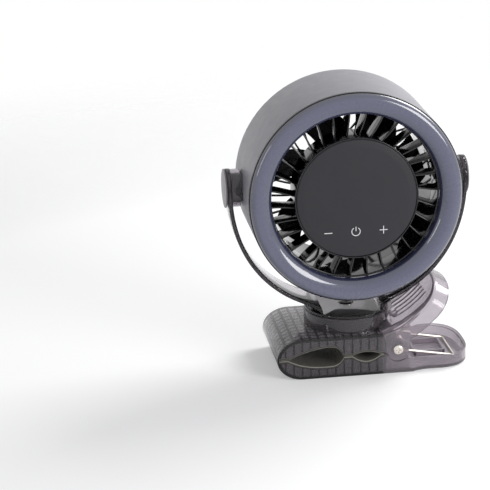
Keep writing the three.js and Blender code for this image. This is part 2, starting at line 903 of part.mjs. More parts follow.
const hingeGroup = new THREE.Group();
hingeGroup.position.set(hinge.x, 0, hinge.z);
hingeGroup.add(piece('hinge_pin', hingePin(), steel, 0.3, 1));
hingeGroup.add(piece('hinge_sleeve', hingeSleeve(), black, 0.5));
for (const [name, side] of [['hinge_screw_front', -1], ['hinge_screw_back', 1]]) {
  const hingeScrew = piece(name, screw(hinge.headRadius, 1.5, 1.5, 7, 'y'), steel, 0.25, 1);
  hingeScrew.position.y = side * (clamp.halfWidth - screwSeat + gap);
  if (side < 0) hingeScrew.rotation.z = Math.PI;
  hingeGroup.add(hingeScrew);
}

const path = springPath();
console.log('least gap of the torsion spring to itself:', leastGap(path, spring.wire).toFixed(2), 'mm');
clampGroup.add(piece('torsion_spring', wire(path, spring.wire, 5), steel, 0.25, 1));

const swivelGroup = new THREE.Group();
swivelGroup.add(piece('swivel_disc', swivelDisc(), black, 0.4));
const swivelScrew = piece('swivel_screw', screw(5, 1.5, 2.2, 12, 'z'), steel, 0.3, 1);
swivelScrew.position.z = yoke.baseTop - 0.9 + gap;
swivelGroup.add(swivelScrew);
swivelGroup.add(piece('yoke', yokeBody(), smoke, 0.12));

const headGroup = new THREE.Group();
headGroup.position.z = head.z;
for (const [name, side] of [['left', -1], ['right', 1]]) {
  headGroup.add(piece('pivot_cap_' + name, pivotCap(side), 0x8a858b, 0.2));
  headGroup.add(piece('pivot_hub_' + name, pivotHub(side), black, 0.45));
  const pivotScrew = piece('pivot_screw_' + name, screw(4.2, 1.7, 1.9, 11, 'x'), steel, 0.3, 1);
  pivotScrew.position.x = side * (yoke.halfSpan - screwDepth + gap);
  if (side < 0) pivotScrew.rotation.z = Math.PI;
  headGroup.add(pivotScrew);
}
headGroup.add(piece('drum_housing', drumHousing(), 0x8f8e96, 0.55));
headGroup.add(piece('light_diffuser', lightDiffuser(), 0x6c6f82, 0.25));
headGroup.add(piece('lamp_board', lampBoard(), 0xe8e8e4, 0.5));
headGroup.add(piece('front_grille', frontGrille(), black, 0.3));
headGroup.add(piece('air_duct', airDuct(), black, 0.2));
headGroup.add(piece('rear_grille', rearGrille(), black, 0.4));
headGroup.add(piece('control_panel', controlPanel(), 0x3c3c42, 0.5));
headGroup.add(piece('panel_bezel', panelBezel(), 0x26262b, 0.2));
headGroup.add(piece('control_board', cylinder(39.6, -40.9, -39.3, 'y', 36), 0x1f5a34, 0.6));
for (const [name, side] of [['upper', 1], ['lower', -1]]) {
  const cell = piece('battery_cell_' + name, cylinder(9.2, -32.5, 32.5, 'x', 20), 0x3a6ea8, 0.4);
  cell.position.set(0, -23, side * (9.2 + gap / 2));
  headGroup.add(cell);
}
headGroup.add(piece('charging_port', chargingPort(), steel, 0.3, 1));
headGroup.add(piece('charging_board', box(-5.4, 5.4, 14, 24.5, -72.3, -71.6), 0x1f5a34, 0.6));
headGroup.add(piece('motor_stator', statorBody(), 0xa06a3a, 0.5, 0.6));
headGroup.add(piece('bearing_front', bearing(-10.5, -7), steel, 0.3, 1));
headGroup.add(piece('bearing_back', bearing(-3, 0.5), steel, 0.3, 1));
headGroup.add(piece('rotor_cup', rotorCup(), 0x9a9a9c, 0.35, 1));
headGroup.add(piece('motor_shaft', cylinder(1.5, -10.8, 12, 'y', 12), steel, 0.2, 1));
headGroup.add(piece('impeller', impellerBody(), black, 0.15));

const clipFan = new THREE.Group();
clipFan.add(clampGroup, hingeGroup, swivelGroup, headGroup);

export default clipFan;
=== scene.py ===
import bmesh
import bpy
import json
import math
from mathutils import Matrix, Vector


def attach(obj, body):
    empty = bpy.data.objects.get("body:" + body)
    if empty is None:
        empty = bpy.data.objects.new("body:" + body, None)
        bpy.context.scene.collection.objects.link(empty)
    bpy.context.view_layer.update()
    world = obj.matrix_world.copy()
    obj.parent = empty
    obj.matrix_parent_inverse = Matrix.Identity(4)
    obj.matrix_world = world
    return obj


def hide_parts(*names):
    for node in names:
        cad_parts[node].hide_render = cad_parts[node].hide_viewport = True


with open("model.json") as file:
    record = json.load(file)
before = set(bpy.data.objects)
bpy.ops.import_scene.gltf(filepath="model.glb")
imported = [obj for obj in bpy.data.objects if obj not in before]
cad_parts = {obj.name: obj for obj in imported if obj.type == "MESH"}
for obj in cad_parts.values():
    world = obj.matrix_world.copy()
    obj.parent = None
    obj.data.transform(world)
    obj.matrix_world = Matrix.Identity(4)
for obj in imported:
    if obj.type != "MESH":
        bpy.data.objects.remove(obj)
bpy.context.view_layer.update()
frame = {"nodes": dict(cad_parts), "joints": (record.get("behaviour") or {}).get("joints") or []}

mm = 0.001  # forms are drawn in millimetres and become pieces in metres
joints = {joint["name"]: joint for joint in frame["joints"]}
headZ = joints["head_tilt"]["pos_m"][2] / mm
hingeX = joints["clamp_hinge"]["pos_m"][0] / mm
hingeZ = joints["clamp_hinge"]["pos_m"][2] / mm
headCentre = (0, 0, headZ)


# ---- shader maths

class Wire:
    # a shader socket: reckoning with it adds Math nodes
    def __init__(self, finish, socket):
        self.finish = finish
        self.socket = socket

    def math(self, operation, *values):
        inputs = dict(enumerate(values or (self,)))
        return self.finish.node("ShaderNodeMath", {"operation": operation}, inputs)

    def __add__(self, other):
        return self.math("ADD", self, other)

    def __sub__(self, other):
        return self.math("SUBTRACT", self, other)

    def __mul__(self, other):
        return self.math("MULTIPLY", self, other)

    def __truediv__(self, other):
        return self.math("DIVIDE", self, other)

    def __pow__(self, other):
        return self.math("POWER", self, other)


class Graph:
    # a tree of shader nodes, of a material or of the world
    def __init__(self, tree, output):
        self.tree = tree
        self.output = tree.nodes[output]

    def feed(self, socket, value):
        if isinstance(value, Wire):
            self.tree.links.new(value.socket, socket)
        elif socket.type == "RGBA":
            socket.default_value = (*value[:3], 1)
        else:
            socket.default_value = value

    def node(self, kind, settings=None, inputs=None, output=0):
        made = self.tree.nodes.new(kind)
        for key, value in (settings or {}).items():
            if key == "stops":
                self.addStops(made.color_ramp, value)
            else:
                setattr(made, key, value)
        for key, value in (inputs or {}).items():
            self.feed(made.inputs[key], value)
        return Wire(self, made.outputs[output])

    def addStops(self, ramp, stops):
        while len(ramp.elements) < len(stops):
            ramp.elements.new(1)
        for element, (place, color) in zip(ramp.elements, stops):
            element.position = place
            element.color = (*color[:3], 1)

    def larger(self, first, second):
        return self.node("ShaderNodeMath", {"operation": "MAXIMUM"}, {0: first, 1: second})

    def mixShaders(self, share, first, second):
        return self.node("ShaderNodeMixShader", None, {0: share, 1: first, 2: second})

    def seenDirectly(self):
        # 1 for the kinds of ray that show the background, 0 for those that light things
        share = 0
        for ray in ("Is Camera Ray", "Is Glossy Ray", "Is Transmission Ray"):
            share = self.larger(share, self.node("ShaderNodeLightPath", output=ray))
        return share


class Finish(Graph):
    # a material: even values sit on the shader's own sockets, and what varies is linked to them
    def __init__(self, name, **values):
        self.material = bpy.data.materials.new(name)
        self.material.use_nodes = True
        super().__init__(self.material.node_tree, "Material Output")
        self.shader = self.tree.nodes["Principled BSDF"]
        for socketName, value in values.items():
            self.feed(self.shader.inputs[socketName.replace("_", " ")], value)

    def link(self, socketName, wire):
        self.feed(self.shader.inputs[socketName], wire)
        return self

    def mottled(self, first, second, size, detail=3, stretch=(1, 1, 1)):
        # two screen colours in soft patches
        return self.mixColors(self.noise(size, detail, stretch), srgb(*first), srgb(*second))

    def paint(self, first, second, size, detail=3):
        return self.link("Base Color", self.mottled(first, second, size, detail))

    def rough(self, low, high, size, detail=4):
        return self.link("Roughness", self.remap(self.noise(size, detail), 0.3, 0.7, low, high))

    def fromUpright(self):
        # how far a place is from the line x = 0, y = 0
        x, y = self.axis("X"), self.axis("Y")
        return (x * x + y * y) ** 0.5

    def place(self, stretch=(1, 1, 1)):
        here = self.node("ShaderNodeTexCoord", output="Object")
        return self.node("ShaderNodeMapping", None, {"Vector": here, "Scale": stretch})

    def axis(self, letter):
        here = self.node("ShaderNodeTexCoord", output="Object")
        return self.node("ShaderNodeSeparateXYZ", None, {0: here}, letter)

    def noise(self, size, detail=3, stretch=(1, 1, 1)):
        # patches about `size` millimetres across, from 0 to 1
        inputs = {"Vector": self.place(stretch), "Scale": 1 / (size * mm), "Detail": detail}
        return self.node("ShaderNodeTexNoise", None, inputs, "Fac")

    def remap(self, value, low, high, toLow, toHigh):
        inputs = {0: value, 1: low, 2: high, 3: toLow, 4: toHigh}
        return self.node("ShaderNodeMapRange", {"clamp": True}, inputs)

    def stripes(self, along, start, pitch, half=0.45):
        # 1 on lines every `pitch` millimetres, 0 between them
        turns = (along - start * mm) / (pitch * mm)
        aside = (turns.math("FRACT") - 0.5).math("ABSOLUTE")
        return self.remap(aside, 0.5 - (half + 0.35) / pitch, 0.5 - half / pitch, 0, 1)

    def mixColors(self, share, first, second):
        inputs = {0: share, 6: first, 7: second}
        return self.node("ShaderNodeMix", {"data_type": "RGBA"}, inputs, 2)

    def bump(self, height, depth, strength=1.0):
        # `depth` in millimetres, for a height from 0 to 1
        inputs = {"Strength": strength, "Distance": depth * mm, "Height": height}
        return self.link("Normal", self.node("ShaderNodeBump", None, inputs))


def srgb(red, green, blue):
    # the colour as it is read off a screen, 0 to 255
    return tuple(((c / 255 + 0.055) / 1.055) ** 2.4 if c > 10 else c / 3294 for c in (red, green, blue))


# ---- finishes

def smokeClear(name, density, clear):
    # smoke-tinted moulding that darkens with its depth, with hairline scratches
    made = Finish(name, Transmission_Weight=clear, IOR=1.47, Specular_IOR_Level=0.5)
    scratch = made.noise(1.6, 5, (1, 0.08, 1))
    made.link("Roughness", made.remap(scratch, 0.55, 0.8, 0.02, 0.09))
    smoke = {"Color": (0.3, 0.26, 0.3), "Density": density}
    made.feed(made.output.inputs["Volume"], made.node("ShaderNodeVolumeAbsorption", None, smoke))
    return made.bump(made.noise(9, 2), 0.02)


def flowMarks(made, first, second):
    return made.mottled(first, second, 24, 2, (1, 1, 2.5))


def yokeSmoke():
    made = smokeClear("yokeSmoke", 165, 1.0)
    return made.link("Base Color", flowMarks(made, (226, 222, 228), (218, 214, 220)))


def jawSmoke(name):
    # the clamp's moulding, its colour carrying painted shade and painted light: darker where a rib, or a
    # wall on edge, stands behind the faces of the jaw, pale between the ribs on top, and darker on the sides
    # than on top
    made = smokeClear(name, 105, 0.84)
    return made.link("Base Color", made.mixColors(
        inJaw(made), leverShade(made), made.mixColors(onSide(made), topShade(made), sideShade(made))))


def inJaw(made):
    # 1 in the jaws proper, 0 in the lever, the pedestal and the tray
    ahead = made.remap(made.axis("X"), (clamp["padEnd"] - 1) * mm, clamp["padEnd"] * mm, 1, 0)
    below = made.remap(made.axis("Z"), (clamp["height"] - 0.1) * mm, (clamp["height"] + 0.3) * mm, 1, 0)
    return ahead * below


def onSide(made):
    out = made.axis("Y").math("ABSOLUTE")
    return made.remap(out, (clamp["half"] - 0.6) * mm, (clamp["half"] - 0.2) * mm, 0, 1)


def offParting(made):
    # how far a place is from the parting line, as a share of the jaw's depth
    return (made.axis("Z") - clamp["parting"] * mm) / (clamp["parting"] * mm)


def leverShade(made):
    flow = flowMarks(made, (214, 206, 214), (204, 196, 204))
    radius = pedestal["radius"]
    # flow marks, with painted shade: the pedestal is painted darker than the lever and the tray
    pedestalPaintedShade = made.remap(made.fromUpright(), (radius + 0.1) * mm, (radius + 0.5) * mm, 1, 0)
    return made.mixColors(pedestalPaintedShade, flow, srgb(132, 126, 132))


def topShade(made):
    # painted light and shade on top: pale cells between the cross ribs and the long ribs, as if lit from
    # above, and darker lines where the ribs stand behind the top
    across = made.stripes(made.axis("X"), clamp["noseX"], clamp["pitch"], 0.7)
    along = made.stripes(made.axis("Y"), clamp["wall"] - clamp["half"], clamp["bay"], 0.75)
    fade = made.remap(offParting(made).math("ABSOLUTE"), 0.1, 0.6, 0.3, 1)
    return made.mixColors(made.larger(across, along * fade), srgb(250, 246, 250), srgb(112, 106, 112))


def sideShade(made):
    # painted shade on the sides: dark lines of the cross ribs, and the outer wall seen on edge painted near
    # black, over cells darker than those on top
    across = made.stripes(made.axis("X"), clamp["noseX"], clamp["pitch"])
    centre = clamp["noseX"] + clamp["noseLength"]
    ahead = made.remap(made.axis("X"), (centre - 30) * mm, centre * mm, 30 / clamp["noseLength"], 0)
    aside = offParting(made)
    outline = made.remap((ahead * ahead + aside * aside) ** 0.5, 0.84, 0.88, 0, 1)
    return made.mixColors(made.larger(across * 0.8, outline), srgb(164, 156, 164), srgb(34, 32, 36))


def drumCoat():
    # satin grey shell: fine moulded grain, a touch of wear in its gloss
    made = Finish("drumCoat", Coat_Weight=0.12, Coat_Roughness=0.35)
    made.paint((132, 131, 139), (141, 139, 146), 38).rough(0.36, 0.46, 7)
    return made.bump(made.noise(0.28, 2), 0.012, 0.6)


def ringLens():
    # frosted lens over the lamps, its colour on a ramp across the ring: bluer where it rolls in towards the
    # opening, with painted shade that darkens it there and at its outer edge
    made = Finish("ringLens", Coat_Weight=1.0, Coat_Roughness=0.05, Coat_IOR=1.7, Specular_IOR_Level=0.3)
    across = made.axis("X")
    up = made.axis("Z") - headZ * mm
    radius = (across * across + up * up) ** 0.5
    # painted shade: the ramp runs dark at the opening and again at the outer edge
    stops = [
        (0.0, srgb(50, 53, 78)),
        (0.14, srgb(66, 69, 94)),
        (0.36, srgb(74, 77, 106)),
        (0.72, srgb(83, 85, 113)),
        (0.93, srgb(78, 80, 102)),
        (1.0, srgb(50, 51, 60)),
    ]
    share = made.remap(radius, lens["inner"] * mm, lens["outer"] * mm, 0, 1)
    ramp = made.node("ShaderNodeValToRGB", {"stops": stops}, {0: share})
    milky = made.noise(30, 2)
    made.link("Base Color", made.mixColors(milky * 0.08, ramp, srgb(112, 112, 126)))
    return made.rough(0.24, 0.32, 3)


def glossBlack(name, shade=(16, 16, 19), low=0.09, high=0.17):
    # polished black moulding with faint dust in its gloss
    made = Finish(name, Specular_IOR_Level=0.55)
    made.paint(shade, [c + 5 for c in shade], 14)
    made.link("Roughness", made.remap(made.noise(2.2, 5), 0.42, 0.72, low, high))
    return made.bump(made.noise(11, 2), 0.02)


def panelSkin():
    # matt dark face of the touch panel, with a few light specks of dust
    made = Finish("panelSkin", Coat_Weight=0.1, Coat_Roughness=0.25, Specular_IOR_Level=0.32)
    shade = made.mottled((38, 38, 43), (44, 44, 49), 20)
    inputs = {"Vector": made.place(), "Scale": 1 / (6.5 * mm), "Randomness": 1.0}
    dust = made.node("ShaderNodeTexVoronoi", {"feature": "F1"}, inputs, "Distance")
    speck = made.remap(dust, 0.012, 0.03, 1, 0)
    rare = made.remap(made.noise(16, 1), 0.56, 0.6, 0, 1)
    made.link("Base Color", made.mixColors(speck * rare * 0.55, shade, srgb(170, 170, 172)))
    return made.rough(0.42, 0.52, 4).bump(made.noise(0.35, 2), 0.01, 0.5)


def platedWire():
    # nickel plate, drawn lengthways
    made = Finish("platedWire", Metallic=1.0).paint((205, 198, 190), (226, 220, 212), 5)
    return made.link("Roughness", made.remap(made.noise(0.9, 4, (1, 6, 6)), 0.3, 0.7, 0.16, 0.3))


def blackenedSteel():
    return Finish("blackenedSteel", Metallic=0.9).paint((46, 44, 47), (58, 56, 59), 2).rough(0.3, 0.42, 1, 3)


def padRubber():
    # olive-black grip rubber in fine rows, with a painted highlight as a pale line along its eased edges and
    # painted shade on its end faces
    made = Finish("padRubber", Sheen_Weight=0.25, Sheen_Roughness=0.5)
    out = made.axis("Y").math("ABSOLUTE")
    half = pads["half"]
    start = half - pads["ease"]
    eased = made.remap(out, (start + 0.02) * mm, (start + 0.1) * mm, 0, 1)
    # painted highlight: a pale line along the eased edges
    paleEdgeHighlight = eased * made.remap(out, (half - 0.05) * mm, (half - 0.01) * mm, 1, 0)
    # painted shade on the end faces
    shadedEnds = made.remap(out, (half - 0.05) * mm, (half - 0.01) * mm, 0, 1)
    rows = made.stripes(made.axis("Y"), 0, pads["pitch"], 0.15)
    rubber = made.mottled((92, 90, 82), (108, 105, 95), 6, 4)
    rubber = made.mixColors(made.larger(rows, shadedEnds), rubber, srgb(58, 56, 52))
    made.link("Base Color", made.mixColors(paleEdgeHighlight, rubber, srgb(206, 202, 190)))
    return made.rough(0.5, 0.68, 1.5).bump(made.noise(0.3, 3), 0.03, 0.7)


def satinBlack(name, shade=(30, 30, 33)):
    # plain moulding, slightly grained
    made = Finish(name, Specular_IOR_Level=0.45).paint(shade, [c + 7 for c in shade], 10)
    return made.rough(0.3, 0.42, 2).bump(made.noise(0.4, 2), 0.01, 0.6)


def signPrintWithGlow():
    # thin pale print of the key signs, with a painted glow: the print gives off a little light though it is
    # no lamp
    made = Finish("signPrintWithGlow", Emission_Strength=0.25).paint((206, 206, 208), (224, 224, 225), 1, 2)
    # painted glow in the print's emission
    made.link("Emission Color", made.mottled((190, 190, 194), (210, 210, 212), 1, 2))
    return made.rough(0.4, 0.5, 1, 2)


def boardLacquer(name, first, second, rough):
    # lacquer, sleeve or enamel on the pieces inside
    made = Finish(name).paint(first, second, 3, 4)
    return made.rough(rough, rough + 0.12, 1.2, 3).bump(made.noise(0.8, 3), 0.03, 0.5)


# ---- forms

class Form:
    # points in millimetres and their faces, gathered until they become a piece
    def __init__(self):
        self.points = []
        self.faces = []

    def strip(self, rows, around, along):
        # quads between rows of points; `around` closes each row, `along` joins the last row to the first
        start = len(self.points)
        width = len(rows[0])
        for row in rows:
            self.points.extend(row)
        for r in range(len(rows) if along else len(rows) - 1):
            below = start + r * width
            above = start + ((r + 1) % len(rows)) * width
            for c in range(width if around else width - 1):
                d = (c + 1) % width
                self.faces.append((below + c, below + d, above + d, above + c))
        return start

    def loft(self, sections):
        start = self.strip(sections, True, False)
        width = len(sections[0])
        last = start + (len(sections) - 1) * width
        self.faces.append(tuple(range(start + width - 1, start - 1, -1)))
        self.faces.append(tuple(range(last, last + width)))
        return self

    def spin(self, profile, axis, centre=(0, 0, 0), segments=144):
        # a profile of (radius, place along the axis); on the axis it stays open
        rows = []
        for s in range(segments):
            turn = 2 * math.pi * s / segments
            rows.append([onAxis(axis, r, turn, a, centre) for r, a in profile])
        self.strip(rows, profile[0][0] > 0, True)
        return self

    def alongY(self, outline, low, high):
        return self.loft([[(x, y, z) for x, z in outline] for y in (low, high)])

    def tube(self, path, radius, sides=14):
        self.loft(tubeSections(path, radius, sides))
        return self

    def piece(self, name, body=None, slot=None, finish=None, nodes=(), sharp=35):
        # without a body it is only a step on the way to a piece
        made = bpy.data.objects.new(name, bpy.data.meshes.new(name))
        bpy.context.scene.collection.objects.link(made)
        made.data.from_pydata([[c * mm for c in point] for point in self.points], [], self.faces)
        tidyMesh(made.data, sharp)
        if body:
            settle(made, body, finish, nodes)
        return made


def onAxis(axis, radius, turn, along, centre):
    a = radius * math.cos(turn)
    b = radius * math.sin(turn)
    offset = {"x": (along, a, b), "y": (a, along, b), "z": (a, b, along)}[axis]
    return tuple(c + o for c, o in zip(centre, offset))


def tidyMesh(mesh, sharp):
    work = bmesh.new()
    work.from_mesh(mesh)
    bmesh.ops.remove_doubles(work, verts=work.verts, dist=0.002 * mm)
    bmesh.ops.dissolve_degenerate(work, edges=work.edges, dist=0.001 * mm)
    bmesh.ops.recalc_face_normals(work, faces=work.faces)
    work.to_mesh(mesh)
    work.free()
    mesh.shade_smooth()
    mesh.set_sharp_from_angle(angle=math.radians(sharp))


def settle(piece, body, finish, nodes=()):
    piece.data.materials.clear()
    piece.data.materials.append(finish.material)
    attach(piece, body)
    if nodes:
        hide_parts(*nodes)
    return piece


def worked(piece, sharp=35):
    # the piece with its modifiers worked into its mesh
    bpy.context.view_layer.update()
    shaped = piece.evaluated_get(bpy.context.evaluated_depsgraph_get())
    mesh = bpy.data.meshes.new_from_object(shaped)
    piece.modifiers.clear()
    piece.data = mesh
    tidyMesh(mesh, sharp)
    return piece


def combined(piece, operation, *forms):
    # joins or cuts a piece with forms, or with other pieces
    for form in forms:
        tool = form.piece("tool") if isinstance(form, Form) else form
        modifier = piece.modifiers.new("combine", "BOOLEAN")
        modifier.operation = operation
        modifier.solver = "EXACT"
        modifier.object = tool
        worked(piece)
        bpy.data.objects.remove(tool)
    return piece


def bevelled(piece, width, steps=3, sharpest=50):
    modifier = piece.modifiers.new("edges", "BEVEL")
    modifier.width = width * mm
    modifier.segments = steps
    modifier.limit_method = "ANGLE"
    modifier.angle_limit = math.radians(sharpest)
    modifier.use_clamp_overlap = True
    return worked(piece, 40)


def softened(corners, steps=5, closed=True):
    # an outline whose corners (x, y, rounding) are rounded off
    outline = []
    count = len(corners)
    for i, corner in enumerate(corners):
        here = Vector(corner[:2])
        ending = not closed and i in (0, count - 1)
        if len(corner) < 3 or not corner[2] or ending:
            outline.append(tuple(here))
            continue
        before = Vector(corners[i - 1][:2])
        after = Vector(corners[(i + 1) % count][:2])
        outline.extend(tuple(p) for p in roundCorner(before, here, after, corner[2], steps))
    return outline


def roundCorner(before, here, after, rounding, steps):
    back = (before - here).normalized()
    ahead = (after - here).normalized()
    half = back.angle(ahead) / 2
    reach = min(rounding / math.tan(half), 0.48 * min((before - here).length, (after - here).length))
    start = here + back * reach
    end = here + ahead * reach
    places = [i / steps for i in range(steps + 1)]
    return [start * (1 - t) ** 2 + here * 2 * t * (1 - t) + end * t * t for t in places]


def softPath(points, rounding, steps=6):
    # a bent wire's middle line, with its corners rounded
    path = [points[0]]
    for before, here, after in zip(points, points[1:], points[2:]):
        if (here - before).angle(after - here) < 0.5:
            path.append(here)
        else:
            path.extend(roundCorner(before, here, after, rounding, steps))
    return path + [points[-1]]


def tubeSections(path, radius, sides):
    side = Vector((0, 1, 0))
    sections = []
    for i, point in enumerate(path):
        ahead = (path[min(i + 1, len(path) - 1)] - path[max(i - 1, 0)]).normalized()
        side = (side - ahead * side.dot(ahead)).normalized()
        up = ahead.cross(side)
        turns = [2 * math.pi * k / sides for k in range(sides)]
        sections.append([tuple(point + (side * math.cos(t) + up * math.sin(t)) * radius) for t in turns])
    return sections


def superQuarter(a, b, roundness, steps):
    # a quarter of a superellipse, from (a, 0) to (0, b)
    points = []
    for i in range(steps + 1):
        t = i / steps * math.pi / 2
        points.append((a * max(math.cos(t), 0) ** (2 / roundness), b * math.sin(t) ** (2 / roundness)))
    return points


def arc(x, z, radius, start, end, steps):
    turns = [math.radians(start + (end - start) * i / steps) for i in range(steps + 1)]
    return [(x + radius * math.cos(t), z + radius * math.sin(t)) for t in turns]


def rod(radius, low, high):
    # the profile of a plain round rod
    return [(0, low), (radius, low), (radius, high), (0, high)]


def bar(x0, y0, x1, y1, rounding=0, steps=5):
    # an upright oblong with its corners rounded off
    return softened([(x0, y0, rounding), (x1, y0, rounding), (x1, y1, rounding), (x0, y1, rounding)], steps)


def boxForm(low, high):
    (x0, y0, z0), (x1, y1, z1) = low, high
    return Form().alongY([(x0, z0), (x1, z0), (x1, z1), (x0, z1)], y0, y1)


# ---- head: shell, light ring and guards

drum = {"radius": 75, "front": -40.4, "back": 27, "wall": 2.2, "backEdge": 2.8, "pivotHole": 10.8}
lens = {
    "inner": 59,
    "outer": 74.3,
    "leg": 72.5,
    "foot": -36.8,
    "flange": -40.7,
    "crest": 69.4,
    "front": -46.1,
    "outerDrop": 4.5,
    "innerDrop": 7.6,
    "roundness": 2.15,
    "thickness": 1.9,
}
duct = {"inner": 58.3, "outer": 59.8}
hub = {"radius": 41.5, "front": -41, "back": -12}
vane = {"count": 31, "front": -34, "back": -20, "half": 0.6, "lean": 4}
rib = {"count": 24, "front": 24.4, "back": 26.6, "half": 0.7, "lean": 24}


def buildDrum():
    inner = drum["radius"] - drum["wall"]
    profile = softened([
        (drum["radius"], drum["front"], 0.2),
        (drum["radius"], drum["back"], drum["backEdge"]),
        (66.3, drum["back"], 0.4),
        (66.3, drum["back"] - drum["wall"]),
        (inner, drum["back"] - drum["wall"]),
        (inner, drum["front"]),
    ])
    shell = Form().spin(profile, "y", headCentre, 180).piece("drumShell")
    pivots = Form().spin(rod(drum["pivotHole"], -80, 80), "x", headCentre, 64)
    combined(shell, "DIFFERENCE", pivots, inletSlot())
    settle(shell, "head", drumCoat(), ["drum_housing"])


def inletSlot():
    # round-ended slot for the charging inlet, through the back flange
    wide, tall = 4.8, 1.8
    middle = headZ - 69.7
    return Form().alongY(bar(-wide, middle - tall, wide, middle + tall, 1.75, 8), 22, 30)


def buildLens():
    # a rolled front between a flange over the shell's edge and a leg round the opening
    def roll(inset):
        crest, front = lens["crest"], lens["front"] + inset
        outer = superQuarter(lens["outer"] - inset - crest, lens["outerDrop"] - inset, lens["roundness"], 18)
        inner = superQuarter(crest - lens["inner"] - inset, lens["innerDrop"] - inset, lens["roundness"], 18)
        outerFoot, innerFoot = front + lens["outerDrop"] - inset, front + lens["innerDrop"] - inset
        return [*((crest + r, outerFoot - rise) for r, rise in outer),
                *((crest - r, innerFoot - rise) for r, rise in reversed(inner[:-1]))]

    foot, leg, thick = lens["foot"], lens["leg"], lens["thickness"]
    inside = [(r, y) for r, y in roll(thick) if r < leg - 1.5]
    profile = [(leg, foot), (leg, lens["flange"]), (lens["outer"], lens["flange"]), *roll(0),
               (lens["inner"], foot), (lens["inner"] + thick, foot), *reversed(inside),
               (leg - 1.5, inside[0][1] + 0.6), (leg - 1.5, foot)]
    Form().spin(profile, "y", headCentre, 180).piece(
        "ringLens", "head", "diffuser_plastic", ringLens(), ["light_diffuser"])


def buildSeamShadeBand():
    # dark band round the lens, flush with the shell: a black piece standing in for the painted shade in the
    # seam between the lens and the shell
    profile = softened([(74.36, -42.3, 0.3), (74.98, -42.1, 0.4), (74.98, -40.6), (74.36, -40.6)], 3)
    Form().spin(profile, "y", headCentre, 180).piece(
        "seamShadeBand", "head", "bezel_plastic", glossBlack("seamShadeBlack", (34, 34, 40), 0.2, 0.3))


def ringSections(r0, r1, lean, steps, outline):
    # sections of a rib at growing radius; the outline is (along Y, across)
    sections = []
    for i in range(steps + 1):
        t = i / steps
        radius = r0 + (r1 - r0) * t
        turn = math.radians(lean) * (1 - t) ** 1.5
        sections.append([onAxis("y", radius, turn + across / radius, y, headCentre)
                         for y, across in outline])
    return sections


def turnedAbout(sections, turn):
    spinAbout = Matrix.Rotation(turn, 3, "Y")
    centre = Vector(headCentre)
    return [[tuple(centre + spinAbout @ (Vector(p) - centre)) for p in section] for section in sections]


def buildFrontGuard():
    form = Form()
    radius = hub["radius"]
    form.spin(softened([
        (radius, hub["front"], 0.5),
        (radius, hub["back"], 1.2),
        (3, hub["back"]),
        (3, hub["back"] - 1.5),
        (radius - 1.6, hub["back"] - 1.5),
        (radius - 1.6, hub["front"], 0.5),
    ]), "y", headCentre)
    form.spin(softened([
        (duct["inner"], -18, 0.2),
        (duct["outer"], -18),
        (duct["outer"], -35),
        (72.3, -35),
        (72.3, -36.4),
        (duct["inner"], -36.4, 0.8),
    ]), "y", headCentre)
    outline = softened([
        (vane["front"], -vane["half"], 0.5),
        (vane["front"], vane["half"], 0.5),
        (vane["back"], vane["half"] * 0.8, 0.3),
        (vane["back"], -vane["half"] * 0.8, 0.3),
    ], 3)
    one = ringSections(radius - 0.5, duct["inner"] + 0.4, vane["lean"], 6, outline)
    for k in range(vane["count"]):
        form.loft(turnedAbout(one, 2 * math.pi * k / vane["count"]))
    form.piece("frontGuard", "head", "black_plastic", glossBlack("guardBlack"), ["front_grille"])


def buildDuct():
    Form().spin(bar(duct["inner"], -17.7, duct["outer"], 22.3), "y", headCentre).piece(
        "airDuct", "head", "black_plastic", glossBlack("ductBlack", (20, 20, 23), 0.07, 0.13), ["air_duct"])


def buildRearGuard():
    form = Form()
    form.spin(softened([
        (59, 22.6), (67.2, 22.6), (67.2, 24.5), (66, 24.5), (66, 26.9, 0.5), (59, 26.9, 0.6)]),
        "y", headCentre)
    form.spin(softened([
        (0, 24.2), (19, 24.2, 0.5), (21, 25, 0.4), (21, 26, 0.4), (19, 27, 0.6), (0, 27.0)], closed=False),
        "y", headCentre, 96)
    outline = softened([
        (rib["front"], -rib["half"], 0.4), (rib["front"], rib["half"], 0.4),
        (rib["back"], rib["half"], 0.6), (rib["back"], -rib["half"], 0.6)], 3)
    one = ringSections(20.2, 59.4, rib["lean"], 10, outline)
    for k in range(rib["count"]):
        form.loft(turnedAbout(one, 2 * math.pi * k / rib["count"]))
    form.piece("rearGuard", "head", "black_plastic", satinBlack("rearBlack", (24, 24, 27)), ["rear_grille"])


# ---- head: control panel and pivots

panel = {"radius": 42.2, "face": -44.5, "plate": 39.6, "back": -41.3, "rimOuter": 43.4, "ledge": 39.9}
signs = {
    "stroke": 0.25,  # half width of a line
    "height": 0.12,
    "minus": (-20.4, -23.5),
    "power": (-1.0, -23.4),
    "plus": (18.4, -23.3),
    "armHalf": 2.6,
    "powerRadius": 2.95,
    "powerGap": 32,
}


def buildPanel():
    edge = panel["radius"]
    profile = softened([
        (0, panel["face"]), (22, panel["face"] + 0.1, 30), (37, panel["face"] + 0.5, 10),
        (edge - 0.7, panel["face"] + 0.95, 0.5), (edge, panel["face"] + 1.6, 0.3),
        (edge, -42.4), (panel["plate"], -42.4), (panel["plate"], panel["back"]), (0, panel["back"])],
        6, closed=False)
    Form().spin(profile, "y", headCentre, 180).piece(
        "touchPanel", "head", "panel_plastic", panelSkin(), ["control_panel"])
    inner = edge + 0.3
    rim = softened([
        (inner, -43.4, 0.15), (inner + 0.5, -43.4, 0.3), (panel["rimOuter"], -42.8, 0.3),
        (panel["rimOuter"], -41.8, 0.2), (inner + 0.4, panel["back"]), (panel["ledge"], panel["back"]),
        (panel["ledge"], -42.1), (inner, -42.1)], 5)
    Form().spin(rim, "y", headCentre, 180).piece(
        "panelRim", "head", "bezel_plastic", glossBlack("rimBlack", (22, 22, 26)), ["panel_bezel"])


